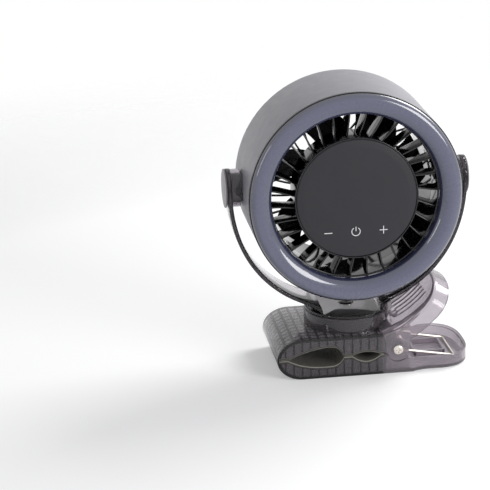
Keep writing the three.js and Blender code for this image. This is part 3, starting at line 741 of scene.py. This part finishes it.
def signForm(*outlines):
    # a thin raised print on the panel's face
    form = Form()
    face = panel["face"]
    for outline in outlines:
        form.alongY([(x, headZ + z) for x, z in outline], face - signs["height"], face + 0.35)
    return form


def strokeOutline(x0, z0, x1, z1):
    along = Vector((x1 - x0, z1 - z0)).normalized() * signs["stroke"]
    side = Vector((-along.y, along.x))
    start = Vector((x0, z0)) - along
    end = Vector((x1, z1)) + along
    return softened([(*corner, 0.3) for corner in (start - side, end - side, end + side, start + side)])


def buildSigns():
    finish = signPrintWithGlow()
    half, stroke, radius, gap = (signs[key] for key in ("armHalf", "stroke", "powerRadius", "powerGap"))
    x, z = signs["minus"]
    signForm(strokeOutline(x - half, z, x + half, z)).piece("signMinus", "head", "lamp_white", finish)
    x, z = signs["plus"]
    plus = signForm(strokeOutline(x - half, z, x + half, z)).piece("signPlus")
    combined(plus, "UNION", signForm(strokeOutline(x, z - half, x, z + half)))
    settle(plus, "head", finish)
    x, z = signs["power"]
    outer, inner = (arc(x, z, radius + side, 90 + gap, 450 - gap, 40) for side in (stroke, -stroke))
    power = signForm([*outer, *reversed(inner)], strokeOutline(x, z + 0.6, x, z + radius + 0.4))
    power.piece("signPower", "head", "lamp_white", finish)


def buildPivots():
    capFinish = satinBlack("capGrey", (128, 122, 128))
    hubFinish = glossBlack("hubBlack", (24, 23, 26), 0.15, 0.25)
    screwFinish = platedWire()
    for name, side in (("Left", -1), ("Right", 1)):
        word = name.lower()
        seat = yoke["span"] + 0.3
        cap = softened([(0, seat), (13.8, seat, 0.2), (13.8, seat + 1.1, 0.6), (0, seat + 1.25)], 6, False)
        Form().spin([(r, side * x) for r, x in cap], "x", headCentre, 96).piece(
            "pivotCap" + name, "yoke", "cap_plastic", capFinish, ["pivot_cap_" + word])
        end = yoke["span"] - yoke["thickness"] - 0.7
        boss = softened([(2.2, 68.8), (13.5, 68.8), (13.5, 70.8), (10.5, 70.8),
                         (10.5, end, 0.8), (8.2, end, 0.4), (8.2, end - 1, 0.4), (2.2, end - 1)], 5)
        Form().spin([(r, side * x) for r, x in boss], "x", headCentre, 96).piece(
            "pivotHub" + name, "head", "black_plastic", hubFinish, ["pivot_hub_" + word])
        screwAt = yoke["span"] - 2.1 + 0.3
        screwPiece("pivotScrew" + name, "x", side, (side * screwAt, 0, headZ), 4.2, 1.7, 1.9, 11,
                   "head", screwFinish, "pivot_screw_" + word)


def screwPiece(name, axis, side, seat, head, height, shank, length, body, finish, node):
    # a pan-head screw with a cross recess, its head's seat at `seat`
    profile = softened([
        (0, -length), (shank * 0.6, -length, 0.2), (shank, -length + 1, 0.2), (shank, 0),
        (head, 0, 0.15), (head, height * 0.55, 0.5), (head * 0.72, height, 0.6), (0, height)], 4, False)
    made = Form().spin([(r, side * a) for r, a in profile], axis, seat, 48).piece(name)
    deep = height * 0.3
    arm = head * 0.56
    slim = head * 0.13
    for long, short in ((arm, slim), (slim, arm)):
        spans = {"x": (None, long, short), "y": (long, None, short), "z": (long, short, None)}[axis]
        low, high = [], []
        for centre, span in zip(seat, spans):
            if span is None:
                ends = sorted((centre + side * deep, centre + side * (height + 1)))
            else:
                ends = (centre - span, centre + span)
            low.append(ends[0])
            high.append(ends[1])
        combined(made, "DIFFERENCE", boxForm(low, high))
    return settle(made, body, finish, [node])


# ---- fan

fan = {"radius": 56.8, "hub": 24, "blades": 7, "front": -8.6, "back": 15, "thickness": 1.6}


def bladeSections(stations, across):
    sections = []
    for i in range(stations):
        t = i / (stations - 1)
        radius = fan["hub"] - 1.2 + (fan["radius"] - fan["hub"] + 1.2) * t
        pitch = math.radians(46 - 18 * t)
        chord = 26 + 9 * math.sin(t * math.pi * 0.7)
        sweep = math.radians(16) * t * t
        middle = (fan["front"] + fan["back"]) / 2
        loop = []
        for face in (1, -1):
            places = [k / across - 0.5 for k in range(across + 1)]
            for s in places if face > 0 else reversed(places):
                off = 3.2 * (0.25 - s * s) + face * fan["thickness"] * (0.5 - 0.62 * abs(s) ** 1.5)
                turn = sweep + (s * chord * math.cos(pitch) - off * math.sin(pitch)) / radius
                y = middle + s * chord * math.sin(pitch) + off * math.cos(pitch)
                loop.append(onAxis("y", radius, turn, y, headCentre))
        sections.append(loop)
    return sections


def buildFan():
    form = Form()
    form.spin(softened([
        (1.8, 3.2), (16.6, 3.2), (16.6, fan["front"], 0.3), (21, fan["front"] - 0.8, 1.5),
        (fan["hub"], fan["front"] + 2, 1.5), (fan["hub"], fan["back"] - 4, 3),
        (fan["hub"] - 3, fan["back"] - 1, 3), (1.8, fan["back"])]), "y", headCentre, 96)
    one = bladeSections(16, 12)
    for k in range(fan["blades"]):
        form.loft(turnedAbout(one, 2 * math.pi * k / fan["blades"]))
    black = glossBlack("fanBlack", (18, 18, 21), 0.06, 0.12)
    form.piece("fanWheel", "fan", "black_plastic", black, ["impeller"])


# ---- yoke

yoke = {
    "span": 85.3,
    "drop": 91.5,
    "thickness": 3,
    "half": 14,
    "roundness": 2.11,
    "edge": 1.1,
    "flareFrom": 36,
    "flareTo": 20,
    "flare": 12.5,
    "baseRadius": 30.3,
    "baseLow": 41.3,
    "baseTop": 43.3,
}


def yokeHalfWidth(x):
    # the band widens until its edges run into the rim of the round base
    away = abs(x)
    if away < yoke["flareTo"]:
        return math.sqrt(yoke["baseRadius"] ** 2 - away ** 2)
    share = max((yoke["flareFrom"] - away) / yoke["flareTo"], 0)
    return yoke["half"] + yoke["flare"] * share ** 1.6


def yokeUnderside(x, z):
    # the band's roots dip to the base
    dip = 0.034 * max(30 - abs(x), 0) ** 2
    return max(z - dip, yoke["baseTop"] - 1.2)


def bandSection(outer, inner, half):
    # a rounded section of the band: thickness from inner to outer, width along Y
    edge = yoke["edge"]
    thick = yoke["thickness"]
    section = []
    for depth, y in bar(0, -half, thick, half, edge, 4):
        t = depth / thick
        section.append((inner[0] + (outer[0] - inner[0]) * t, y, inner[1] + (outer[1] - inner[1]) * t))
    return section


def buildYoke():
    thick = yoke["thickness"]
    outer = superQuarter(yoke["span"], yoke["drop"], yoke["roundness"], 60)
    inner = superQuarter(yoke["span"] - thick, yoke["drop"] - thick, yoke["roundness"], 60)
    sections = []
    for lift in (13.97, 13.8, 13.3, 12.4, 11, 9, 6.5, 3.5):
        half = math.sqrt(yoke["half"] ** 2 - lift ** 2)
        z = headZ + lift
        sections.append(bandSection((yoke["span"], z), (yoke["span"] - thick, z), max(half, 1)))
    for (xo, zo), (xi, zi) in zip(outer, inner):
        under = yokeUnderside(xo, headZ - zo)
        sections.append(bandSection((xo, under), (xi, headZ - zi), yokeHalfWidth(xo)))
    mirrored = [[(-x, y, z) for x, y, z in section] for section in reversed(sections[:-1])]
    band = Form().loft(sections + mirrored).piece("yokeBand")
    top = yoke["baseTop"]
    low = top - 0.05
    side = yoke["flareTo"]
    letIn = softened([(-side, low, 1.2), (side, low, 1.2), (side + 2.6, 52), (-side - 2.6, 52)], 5)
    combined(band, "DIFFERENCE", Form().alongY(letIn, -40, 40))
    base = softened([
        (0, yoke["baseLow"]), (yoke["baseRadius"], yoke["baseLow"], 0.3), (yoke["baseRadius"], top, 0.7),
        (0, top)], 5, False)
    forms = [Form().spin(base, "z", (0, 0, 0), 128)]
    holes = []
    for side in (-1, 1):
        collar = softened([(11.1, 75.6, 0.4), (13.5, 75.6, 0.5), (13.5, 82.7), (11.1, 82.7)], 4)
        forms.append(Form().spin([(r, side * x) for r, x in collar], "x", headCentre, 96))
        recess = [(0, 79), (2.4, 79), (2.4, 83.2), (4.6, 83.2), (4.6, 87), (0, 87)]
        holes.append(Form().spin([(r, side * x) for r, x in recess], "x", headCentre, 48))
    combined(band, "UNION", *forms)
    holes.append(Form().spin([(0, 38), (2.6, 38), (2.6, 42.4), (5.4, 42.4), (5.4, 60), (0, 60)], "z",
                             (0, 0, 0), 48))
    combined(band, "DIFFERENCE", *holes)
    settle(band, "yoke", yokeSmoke(), ["yoke"])


# ---- clamp

clamp = {
    "half": 35,
    "height": 30,
    "parting": 15,
    "noseX": -56,
    "noseLength": 18.8,
    "padEnd": 21,
    "pad": 1.6,
    "wall": 2.2,
    "gap": 0.3,
    "pitch": 6,
    "rib": 1.2,
    "longRib": 3,
    "bay": 65.6 / 11,  # between the long ribs
    "edge": 1.1,
    "hollows": [
        # start, deepest place and end, depth above and below,
        # how sharp the start is above and below, and the end
        (-48.2, -20, -8, 7.4, 6.3, 1.6, 2.6, 3.5),
        (-1.7, 8.4, 18.5, 2.2, 4.2, 2, 2, 2),
    ],
}
padStart = clamp["noseX"] + 1.7
hinge = {
    "bore": 2.9,
    "lowerKnuckle": 8.8,
    "upperKnuckle": 8,
    "earRadius": 7.2,
    "earThickness": 2.4,
    "cheek": 40,
    "recess": 3.9,
    "recessDepth": 1.1,
}


def gripDepth(x, side):
    # how far a grip hollow opens above or below the parting line
    for start, peak, end, up, down, sharpUp, sharpDown, blunt in clamp["hollows"]:
        if start < x < end:
            if x < peak:
                share = ((peak - x) / (peak - start)) ** (sharpUp if side > 0 else sharpDown)
            else:
                share = ((x - peak) / (end - peak)) ** blunt
            return (up if side > 0 else down) * (1 - share)
    return 0


def gripLine(side, start, end, behind, steps, tooth=0):
    points = []
    for i in range(steps + 1):
        x = start + (end - start) * i / steps
        ridge = tooth * (0.5 + 0.5 * math.cos(2 * math.pi * x / pads["pitch"]))
        off = clamp["gap"] / 2 + gripDepth(x, side) + behind + ridge
        points.append((x, clamp["parting"] + side * off))
    return points


def noseCurve(side, inset, steps):
    centre = clamp["noseX"] + clamp["noseLength"]
    quarter = superQuarter(clamp["noseLength"] - inset, clamp["parting"] - inset, 2, steps)
    return [(centre - x, clamp["parting"] + side * z) for x, z in quarter]


def padSeat(side):
    start, end = padStart - clamp["gap"], clamp["padEnd"] + clamp["gap"]
    seat = gripLine(side, start, end, clamp["pad"] + clamp["gap"], 90)
    lip = clamp["parting"] + side * clamp["gap"] / 2
    return [(start, lip), *seat, (end, lip)]


def roofHeight(x, inset):
    # height of a jaw's inner roof over the parting line
    centre = clamp["noseX"] + clamp["noseLength"]
    a = clamp["noseLength"] - inset
    b = clamp["parting"] - inset
    if x >= centre:
        return b
    return b * math.sqrt(max(1 - ((centre - x) / a) ** 2, 0))


def hollowCells(side):
    # bays between a jaw's cross ribs, open towards its pad, and pockets between low long ribs under its roof
    bays = Form()
    pockets = Form()
    inner = clamp["half"] - clamp["wall"]
    bay = clamp["bay"]
    rows = round(2 * inner / bay)
    ribHalf = clamp["rib"] / 2
    edges = [clamp["noseX"] + clamp["wall"] + 0.4]
    x = clamp["noseX"] + 2 * clamp["pitch"]
    while x < clamp["padEnd"] - 2:
        edges += [x - ribHalf, x + ribHalf]
        x += clamp["pitch"]
    edges.append(clamp["padEnd"])
    for x0, x1 in zip(edges[::2], edges[1::2]):
        xs = [x0 + (x1 - x0) * k / 4 for k in range(5)]
        roof = [(x, max(roofHeight(x, clamp["wall"]), 0.6)) for x in xs]
        ledge = [(x, max(z - clamp["longRib"], 0.3)) for x, z in roof]
        bays.alongY([*facing(ledge, side), *facing([(x1, -0.5), (x0, -0.5)], side)], -inner, inner)
        for row in range(rows):
            y0 = -inner + bay * row + (ribHalf if row else 0)
            y1 = -inner + bay * (row + 1) - (ribHalf if row < rows - 1 else 0)
            low = [(x, z - 0.2) for x, z in reversed(ledge)]
            pockets.alongY([*facing(roof, side), *facing(low, side)], y0, y1)
    return bays, pockets


def facing(outline, side):
    # heights over the parting line, above or below it
    return [(x, clamp["parting"] + side * z) for x, z in outline]


def seatForm(side):
    # what is cut away in front of a pad's seat
    beyond = clamp["parting"] - side * 30
    seat = padSeat(side)
    return Form().alongY([*seat, (seat[-1][0], beyond), (seat[0][0], beyond)], -60, 60)


pads = {"pitch": 1.25, "tooth": 0.38, "half": 34.8, "ease": 0.3}


def buildPads():
    finish = padRubber()
    for name, side, body in (("lower", -1, "lower_clamp"), ("upper", 1, "upper_clamp")):
        face = gripLine(side, padStart, clamp["padEnd"], 0, 480, pads["tooth"])
        back = gripLine(side, padStart, clamp["padEnd"], clamp["pad"], 90)
        eased = gripLine(side, padStart, clamp["padEnd"], pads["ease"], 480, pads["tooth"])
        half, inner = pads["half"], pads["half"] - pads["ease"]
        sections = []
        for y, line in ((-half, eased), (-inner, face), (inner, face), (half, eased)):
            sections.append([(x, y, z) for x, z in (*line, *reversed(back))])
        Form().loft(sections).piece(name + "Pad", body, "pad_rubber", finish, [name + "_pad"], 40)


tray = {
    "shoulder": 43,
    "taper": 8,
    "straightTo": 60,
    "end": 86.5,
    "half": 33,
    "height": 10,
    "floor": 2.4,
    "roundness": 2.8,
    "rimStep": 1.1,
}


def bowlPlan(start, straightTo, end, half, roundness, steps=28):
    # half widths along a bowl that closes in to a round end
    curve = superQuarter(end - straightTo, half, roundness, steps)
    straight = [(start + (straightTo - start) * i / 4, half) for i in range(4)]
    return straight + [(straightTo + u, w) for u, w in reversed(curve[1:])] + [(end, half * 0.12)]


def trayForm(inset, start, low, high, lowEdge=0):
    plan = bowlPlan(max(start, tray["shoulder"] + tray["taper"]), tray["straightTo"], tray["end"] - inset,
                    tray["half"] - inset, tray["roundness"])
    if start < tray["shoulder"]:
        plan = [(x, clamp["half"] - inset) for x in (start, tray["shoulder"])] + plan
    ring = [(x, w) for x, w in plan] + [(x, -w) for x, w in reversed(plan)]
    levels = [(low, lowEdge), (low + lowEdge, 0), (high, 0)] if lowEdge else [(low, 0), (high, 0)]
    sections = []
    for z, shrink in levels:
        scale = 1 - shrink / tray["half"]
        middle = (start + tray["end"]) / 2
        sections.append([(middle + (x - middle) * scale, y * scale, z) for x, y in ring])
    return Form().loft(sections)


def buildLowerJaw():
    half = clamp["half"]
    outline = [
        *noseCurve(-1, 0, 28),
        (tray["shoulder"], 0),
        (tray["shoulder"], tray["height"]),
        *arc(hingeX, hingeZ, hinge["lowerKnuckle"], -52, -163.8, 28),
        (clamp["padEnd"] + 0.8, clamp["parting"] - 0.15),
        (padStart - 1.4, clamp["parting"] - 0.15),
    ]
    jaw = Form().alongY(outline, -half, half).piece("lowerJaw")
    bevelled(jaw, clamp["edge"], 4)
    combined(jaw, "UNION", trayForm(0, 38, 0, tray["height"], 1.2))
    combined(jaw, "DIFFERENCE", seatForm(-1), *hollowCells(-1))
    room = half - clamp["wall"]
    combined(
        jaw, "DIFFERENCE",
        boxForm((clamp["padEnd"] + 2, -room, clamp["wall"]), (tray["shoulder"] + 2, room, clamp["height"])),
        trayForm(clamp["wall"], 36, tray["floor"], 20),
        trayForm(tray["rimStep"], tray["shoulder"] + tray["taper"], tray["height"] - 1.3, 20))
    outer = room - 0.4 - 0.6
    inner = outer - hinge["earThickness"]
    ear = [*arc(hingeX, hingeZ, hinge["earRadius"], 0, 180, 24), (hingeX - 9, 1), (hingeX + 9, 1)]
    ears = [Form().alongY(ear, *sorted((side * inner, side * outer))) for side in (-1, 1)]
    combined(jaw, "UNION", *ears, *trayDetails())
    combined(jaw, "DIFFERENCE", Form().spin(rod(hinge["bore"], -40, 40), "y", (hingeX, 0, hingeZ), 48))
    settle(jaw, "lower_clamp", jawSmoke("lowerSmoke"), ["lower_jaw"])


def trayDetails():
    # the guide frame on the tray's floor and the upright ribs below the hinge
    outer = bar(48, -12.5, 71, 12.5, 3, 6)
    inner = bar(49.6, -10.9, 69.4, 10.9, 2, 6)
    rows = [[(x, y, z) for x, y in ring] for ring, z in
            ((outer, 2.2), (outer, 6.4), (inner, 6.4), (inner, 2.2))]
    guide = Form()
    guide.strip(rows, True, True)
    forms = [guide]
    wall = clamp["half"] - clamp["wall"]
    for x in (25.5, 29, 32.5, 36, 39.5):
        for side in (-1, 1):
            ends = sorted((side * (wall + 0.3), side * (wall - 1.2)))
            forms.append(boxForm((x - 0.7, ends[0], 2), (x + 0.7, ends[1], 7.4)))
    return forms


# ---- clamp: upper half

lever = {
    "centreX": -3.05,
    "centreZ": 99,
    "radius": 75,
    "startAngle": 20,
    "length": 54,
    "straightTo": 35,
    "half": 34.6,
    "skirt": 11,
    "roundness": 2.45,
    "bevel": 4,
    "ridge": {"pitch": 6.1, "half": 2.5, "start": 15, "end": 42},
}
pedestal = {"radius": 30.5, "top": 40.9, "wall": 1.8}


def onLever(u, y, n):
    slope = math.radians(lever["startAngle"]) + u / lever["radius"]
    reach = lever["radius"] - n
    return (lever["centreX"] + reach * math.sin(slope), y, lever["centreZ"] - reach * math.cos(slope))


def leverCrown(u):
    return 4 - 2 * u / lever["length"]


def leverForm(start, inset, bottom):
    plan = bowlPlan(start, lever["straightTo"], lever["length"] - inset, lever["half"] - inset,
                    lever["roundness"], 22)
    sections = []
    for u, w in plan:
        top = leverCrown(u) - inset
        bevel = min(lever["bevel"], w / 2)
        rim = min(0, top)
        back = softened([(w, -bottom), (w, rim, 2.2), (w - bevel, top, 2.6), (bevel - w, top, 2.6),
                         (-w, rim, 2.2), (-w, -bottom)], 5, False)
        sections.append([onLever(u, y, n) for y, n in back])
    return Form().loft(sections)


def leverRidges():
    # broad flat finger ridges with narrow grooves between them
    ridge = lever["ridge"]
    forms = []
    for i in range(7):
        y = (i - 3) * ridge["pitch"]
        sections = []
        for k in range(15):
            u = ridge["start"] + (ridge["end"] - ridge["start"]) * k / 14
            crown = leverCrown(u)
            tall = 0.7 if 0 < k < 14 else 0.25
            outline = softened([(y - ridge["half"], crown - 0.6), (y - ridge["half"], crown + tall, 0.5),
                                (y + ridge["half"], crown + tall, 0.5), (y + ridge["half"], crown - 0.6)],
                               4, False)
            sections.append([onLever(u, across, n) for across, n in outline])
        forms.append(Form().loft(sections))
    return forms


def leverPegs():
    # two short round pegs under the lever's root
    forms = []
    for side in (-1, 1):
        sections = []
        for n, radius in ((1.9, 2.9), (-1.5, 2.9), (-1.9, 2.5)):
            turns = [2 * math.pi * k / 32 for k in range(32)]
            sections.append([onLever(13.3 + radius * math.cos(t), side * 8.8 + radius * math.sin(t), n)
                             for t in turns])
        forms.append(Form().loft(sections))
    return forms


def buildUpperJaw():
    half = clamp["half"]
    cheek = hinge["cheek"]
    outline = [
        *noseCurve(1, 0, 28),
        (clamp["padEnd"], clamp["height"]),
        (cheek, clamp["height"] + 5.6),
        (cheek, hingeZ + 4),
        *arc(hingeX, hingeZ, hinge["upperKnuckle"], 10, -164.4, 32),
        (clamp["padEnd"] + 0.8, clamp["parting"] + 0.15),
        (padStart - 1.4, clamp["parting"] + 0.15),
    ]
    jaw = Form().alongY(outline, -half, half).piece("upperJaw")
    bevelled(jaw, clamp["edge"], 4)
    outerTube = softened([(0, 29), (pedestal["radius"], 29), (pedestal["radius"], pedestal["top"], 0.5),
                          (0, pedestal["top"])], 4, False)
    combined(jaw, "UNION", Form().spin(outerTube, "z", (0, 0, 0), 128), leverForm(-3, 0, lever["skirt"]))
    inner = pedestal["radius"] - pedestal["wall"]
    wellWall = [(inner, 10), (pedestal["radius"], 10), (pedestal["radius"], 29), (inner, 29)]
    for cells in hollowCells(1):
        tool = cells.piece("cells")
        combined(tool, "DIFFERENCE", Form().spin(wellWall, "z", (0, 0, 0), 96))
        combined(jaw, "DIFFERENCE", tool)
    room = half - clamp["wall"] - 0.2
    combined(
        jaw, "DIFFERENCE",
        seatForm(1),
        Form().spin(rod(inner, clamp["height"], 50), "z", (0, 0, 0), 128),
        leverForm(-1.5, clamp["wall"], lever["skirt"] + 5),
        boxForm((clamp["padEnd"] + 2, -room, 0), (cheek + 3, room, hingeZ + 3)),
        Form().spin(rod(hinge["bore"], -40, 40), "y", (hingeX, 0, hingeZ), 48))
    for side in (-1, 1):
        recess = rod(hinge["recess"], side * (half - hinge["recessDepth"]), side * 40)
        combined(jaw, "DIFFERENCE", Form().spin(recess, "y", (hingeX, 0, hingeZ), 64))
    combined(jaw, "UNION", *leverRidges(), *leverPegs())
    settle(jaw, "upper_clamp", jawSmoke("upperSmoke"), ["upper_jaw"])


# ---- clamp: hinge and spring

spring = {"wire": 0.9, "radius": 5.4, "turns": 3, "pitch": 2.5, "innerY": 18.2, "barX": 76.3, "barZ": 3.6}


def springPath():
    # one free leg, its coil on the hinge, and half of the bow in the tray
    endX, _, endZ = onLever(35, 0, leverCrown(35) - clamp["wall"] - 0.3 - spring["wire"] - 0.2)
    slopes = []
    for x, z, side in ((endX, endZ, -1), (spring["barX"], spring["barZ"], 1)):
        reach = math.hypot(x - hingeX, z - hingeZ)
        slopes.append(math.atan2(z - hingeZ, x - hingeX) + side * math.asin(spring["radius"] / reach))
    upper, lower = slopes
    first = upper + math.pi / 2
    sweep = lower - math.pi / 2 + 2 * math.pi * (spring["turns"] + 1) - first
    steps = round(28 * sweep / (2 * math.pi))
    rise = spring["pitch"] * sweep / (2 * math.pi)
    half = [Vector((endX, -spring["innerY"] - rise, endZ))]
    for i in range(steps + 1):
        turn = first + sweep * i / steps
        half.append(Vector((
            hingeX + spring["radius"] * math.cos(turn),
            -spring["innerY"] - rise * (1 - i / steps),
            hingeZ + spring["radius"] * math.sin(turn),
        )))
    half.append(Vector((spring["barX"] - 3, -spring["innerY"], spring["barZ"] + 0.5)))
    half.append(Vector((spring["barX"] - 0.2, -spring["innerY"], spring["barZ"])))
    mirrored = [Vector((p.x, -p.y, p.z)) for p in reversed(half)]
    return softPath(half + mirrored, 2.4)


def buildHinge():
    finish = platedWire()
    Form().tube(springPath(), spring["wire"]).piece(
        "returnSpring", "lower_clamp", "nickel_wire", finish, ["torsion_spring"], 60)
    Form().spin(bar(2.9, -28.8, 4.1, 28.8, 0.3, 3),"y", (hingeX, 0, hingeZ), 48).piece(
        "hingeSleeve", "lower_clamp", "black_plastic", satinBlack("sleeveBlack"), ["hinge_sleeve"])
    pin = softened([(1.8, -33.6), (2.6, -33.6, 0.3), (2.6, 33.6, 0.3), (1.8, 33.6)], 3)
    Form().spin(pin, "y", (hingeX, 0, hingeZ), 40).piece(
        "hingePin", "lower_clamp", "steel", finish, ["hinge_pin"])
    for name, side in (("front", -1), ("back", 1)):
        screwPiece("hingeScrew" + name.title(), "y", side, (hingeX, side * (clamp["half"] - 0.8), hingeZ),
                   3.6, 1.5, 1.5, 7, "lower_clamp", finish, "hinge_screw_" + name)


def buildSwivel():
    radius = pedestal["radius"] - pedestal["wall"] - 0.3
    disc = softened([
        (2.5, 30.3), (9, 30.3), (9, 37.9, 1), (radius, 37.9, 0.3), (radius, pedestal["top"], 0.4),
        (2.5, pedestal["top"])], 4)
    Form().spin(disc, "z", (0, 0, 0), 128).piece(
        "turnDisc", "upper_clamp", "black_plastic", glossBlack("discBlack", (22, 21, 24), 0.04, 0.09),
        ["swivel_disc"])
    screwPiece("turnScrew", "z", 1, (0, 0, 42.7), 5, 1.5, 2.2, 12, "upper_clamp", blackenedSteel(),
               "swivel_screw")


# ---- what stays as it came

def dressInside():
    # the inner pieces keep their shape and get their own finish
    steel = platedWire()
    green = boardLacquer("boardGreen", (22, 84, 48), (30, 98, 58), 0.35)
    sleeve = boardLacquer("cellSleeve", (38, 86, 150), (48, 98, 164), 0.28)
    finishes = {
        "lamp_board": boardLacquer("boardWhite", (226, 226, 220), (238, 238, 232), 0.4),
        "control_board": green,
        "charging_board": green,
        "battery_cell_upper": sleeve,
        "battery_cell_lower": sleeve,
        "charging_port": steel,
        "motor_stator": boardLacquer("copperEnamel", (140, 76, 40), (164, 92, 48), 0.3),
        "bearing_front": steel,
        "bearing_back": steel,
        "rotor_cup": steel,
        "motor_shaft": steel,
    }
    for name, finish in finishes.items():
        for materialSlot in frame["nodes"][name].material_slots:
            materialSlot.material = finish.material


# ---- floor, light and camera

studio = {
    "floorShade": 0.88,
    "floorLift": 0.27,
    "floorFrom": 400,  # the floor fades out from here
    "floorTo": 900,
    "floorHalf": 1500,
    "world": 0.36,
}
lamps = [
    # name, direction from the object, distance, width, height, watts
    ("lampRight", (0.6, -0.74, 0.28), 1.35, 0.62, 0.62, 8.5),
    ("lampLeft", (-0.85, -0.5, 0.24), 1.35, 0.14, 0.5, 1.2),
    ("lampBack", (1.0, 0.6, 0.9), 1.4, 0.8, 0.7, 14),
]


def buildStudio():
    half = studio["floorHalf"]
    corners = ((-half, -half), (half, -half), (half, half), (-half, half))
    slab = Form().loft([[(x, y, z) for x, y in corners] for z in (-0.02, -5)])
    ground = slab.piece("floor")
    ground.data.materials.append(floorPaint())
    world = bpy.data.worlds.new("studio")
    bpy.context.scene.world = world
    world.use_nodes = True
    sky = Graph(world.node_tree, "World Output")
    light = {"Color": (0.97, 0.98, 1), "Strength": studio["world"]}
    plain = {"Color": (1, 1, 1), "Strength": 1}
    shaders = [sky.node("ShaderNodeBackground", None, inputs) for inputs in (light, plain)]
    sky.feed(sky.output.inputs["Surface"], sky.mixShaders(sky.seenDirectly(), *shaders))
    for name, direction, distance, width, height, power in lamps:
        buildLamp(name, Vector(direction).normalized() * distance, width, height, power)
    bpy.context.scene.view_settings.view_transform = "Standard"


def floorPaint():
    # pale floor round the object: lifted towards white where it is seen, so that only its shadow shows
    made = Finish("floorPaint", Roughness=0.9, Specular_IOR_Level=0.1)
    shade = [studio["floorShade"]] * 3
    made.link("Base Color", made.mixColors(made.noise(300, 2), shade, [c * 1.01 for c in shade]))
    glows = [made.node("ShaderNodeEmission", None, {"Strength": lift}) for lift in (0, studio["floorLift"])]
    lifted = made.mixShaders(made.seenDirectly(), *glows)
    lit = made.node("ShaderNodeAddShader", None, {0: Wire(made, made.shader.outputs[0]), 1: lifted})
    away = made.remap(made.fromUpright(), studio["floorFrom"] * mm, studio["floorTo"] * mm, 0, 1)
    shown = made.mixShaders(away, lit, made.node("ShaderNodeBsdfTransparent"))
    made.feed(made.output.inputs["Surface"], shown)
    return made.material


def buildLamp(name, offset, width, height, power):
    light = bpy.data.lights.new(name, "AREA")
    light.shape = "RECTANGLE"
    light.size = width
    light.size_y = height
    light.energy = power
    lamp = bpy.data.objects.new(name, light)
    bpy.context.scene.collection.objects.link(lamp)
    target = Vector((0, 0, 0.11))
    lamp.location = target + offset
    lamp.rotation_euler = (-offset).to_track_quat("-Z", "Y").to_euler()


view = {
    "eye": (-259.21, -1361.68, 550.46),  # millimetres
    "azimuth": -7.81,
    "elevation": 18.46,
    "roll": -1.26,
    "lens": 150.1,
}


def buildCamera():
    azimuth = math.radians(view["azimuth"])
    elevation = math.radians(view["elevation"])
    roll = math.radians(view["roll"])
    ahead = Vector((-math.sin(azimuth) * math.cos(elevation), math.cos(azimuth) * math.cos(elevation),
                    -math.sin(elevation)))
    right = Vector((math.cos(azimuth), math.sin(azimuth), 0))
    up = right.cross(ahead)
    rolledRight = right * math.cos(roll) + up * math.sin(roll)
    rolledUp = up * math.cos(roll) - right * math.sin(roll)
    data = bpy.data.cameras.new("camera")
    data.lens = view["lens"]
    data.sensor_width = 36
    data.clip_start = 0.05
    data.clip_end = 20
    camera = bpy.data.objects.new("camera", data)
    bpy.context.scene.collection.objects.link(camera)
    turned = Matrix((rolledRight, rolledUp, -ahead)).transposed().to_4x4()
    camera.matrix_world = Matrix.Translation(Vector(view["eye"]) * mm) @ turned
    bpy.context.scene.camera = camera


# ---- making it

for build in (
    buildCamera, buildStudio,
    buildDrum, buildLens, buildSeamShadeBand, buildFrontGuard, buildDuct, buildRearGuard,
    buildPanel, buildSigns, buildFan, buildPivots, buildYoke,
    buildPads, buildLowerJaw, buildUpperJaw, buildHinge, buildSwivel,
    dressInside,
):
    build()
    print("done:", build.__name__)
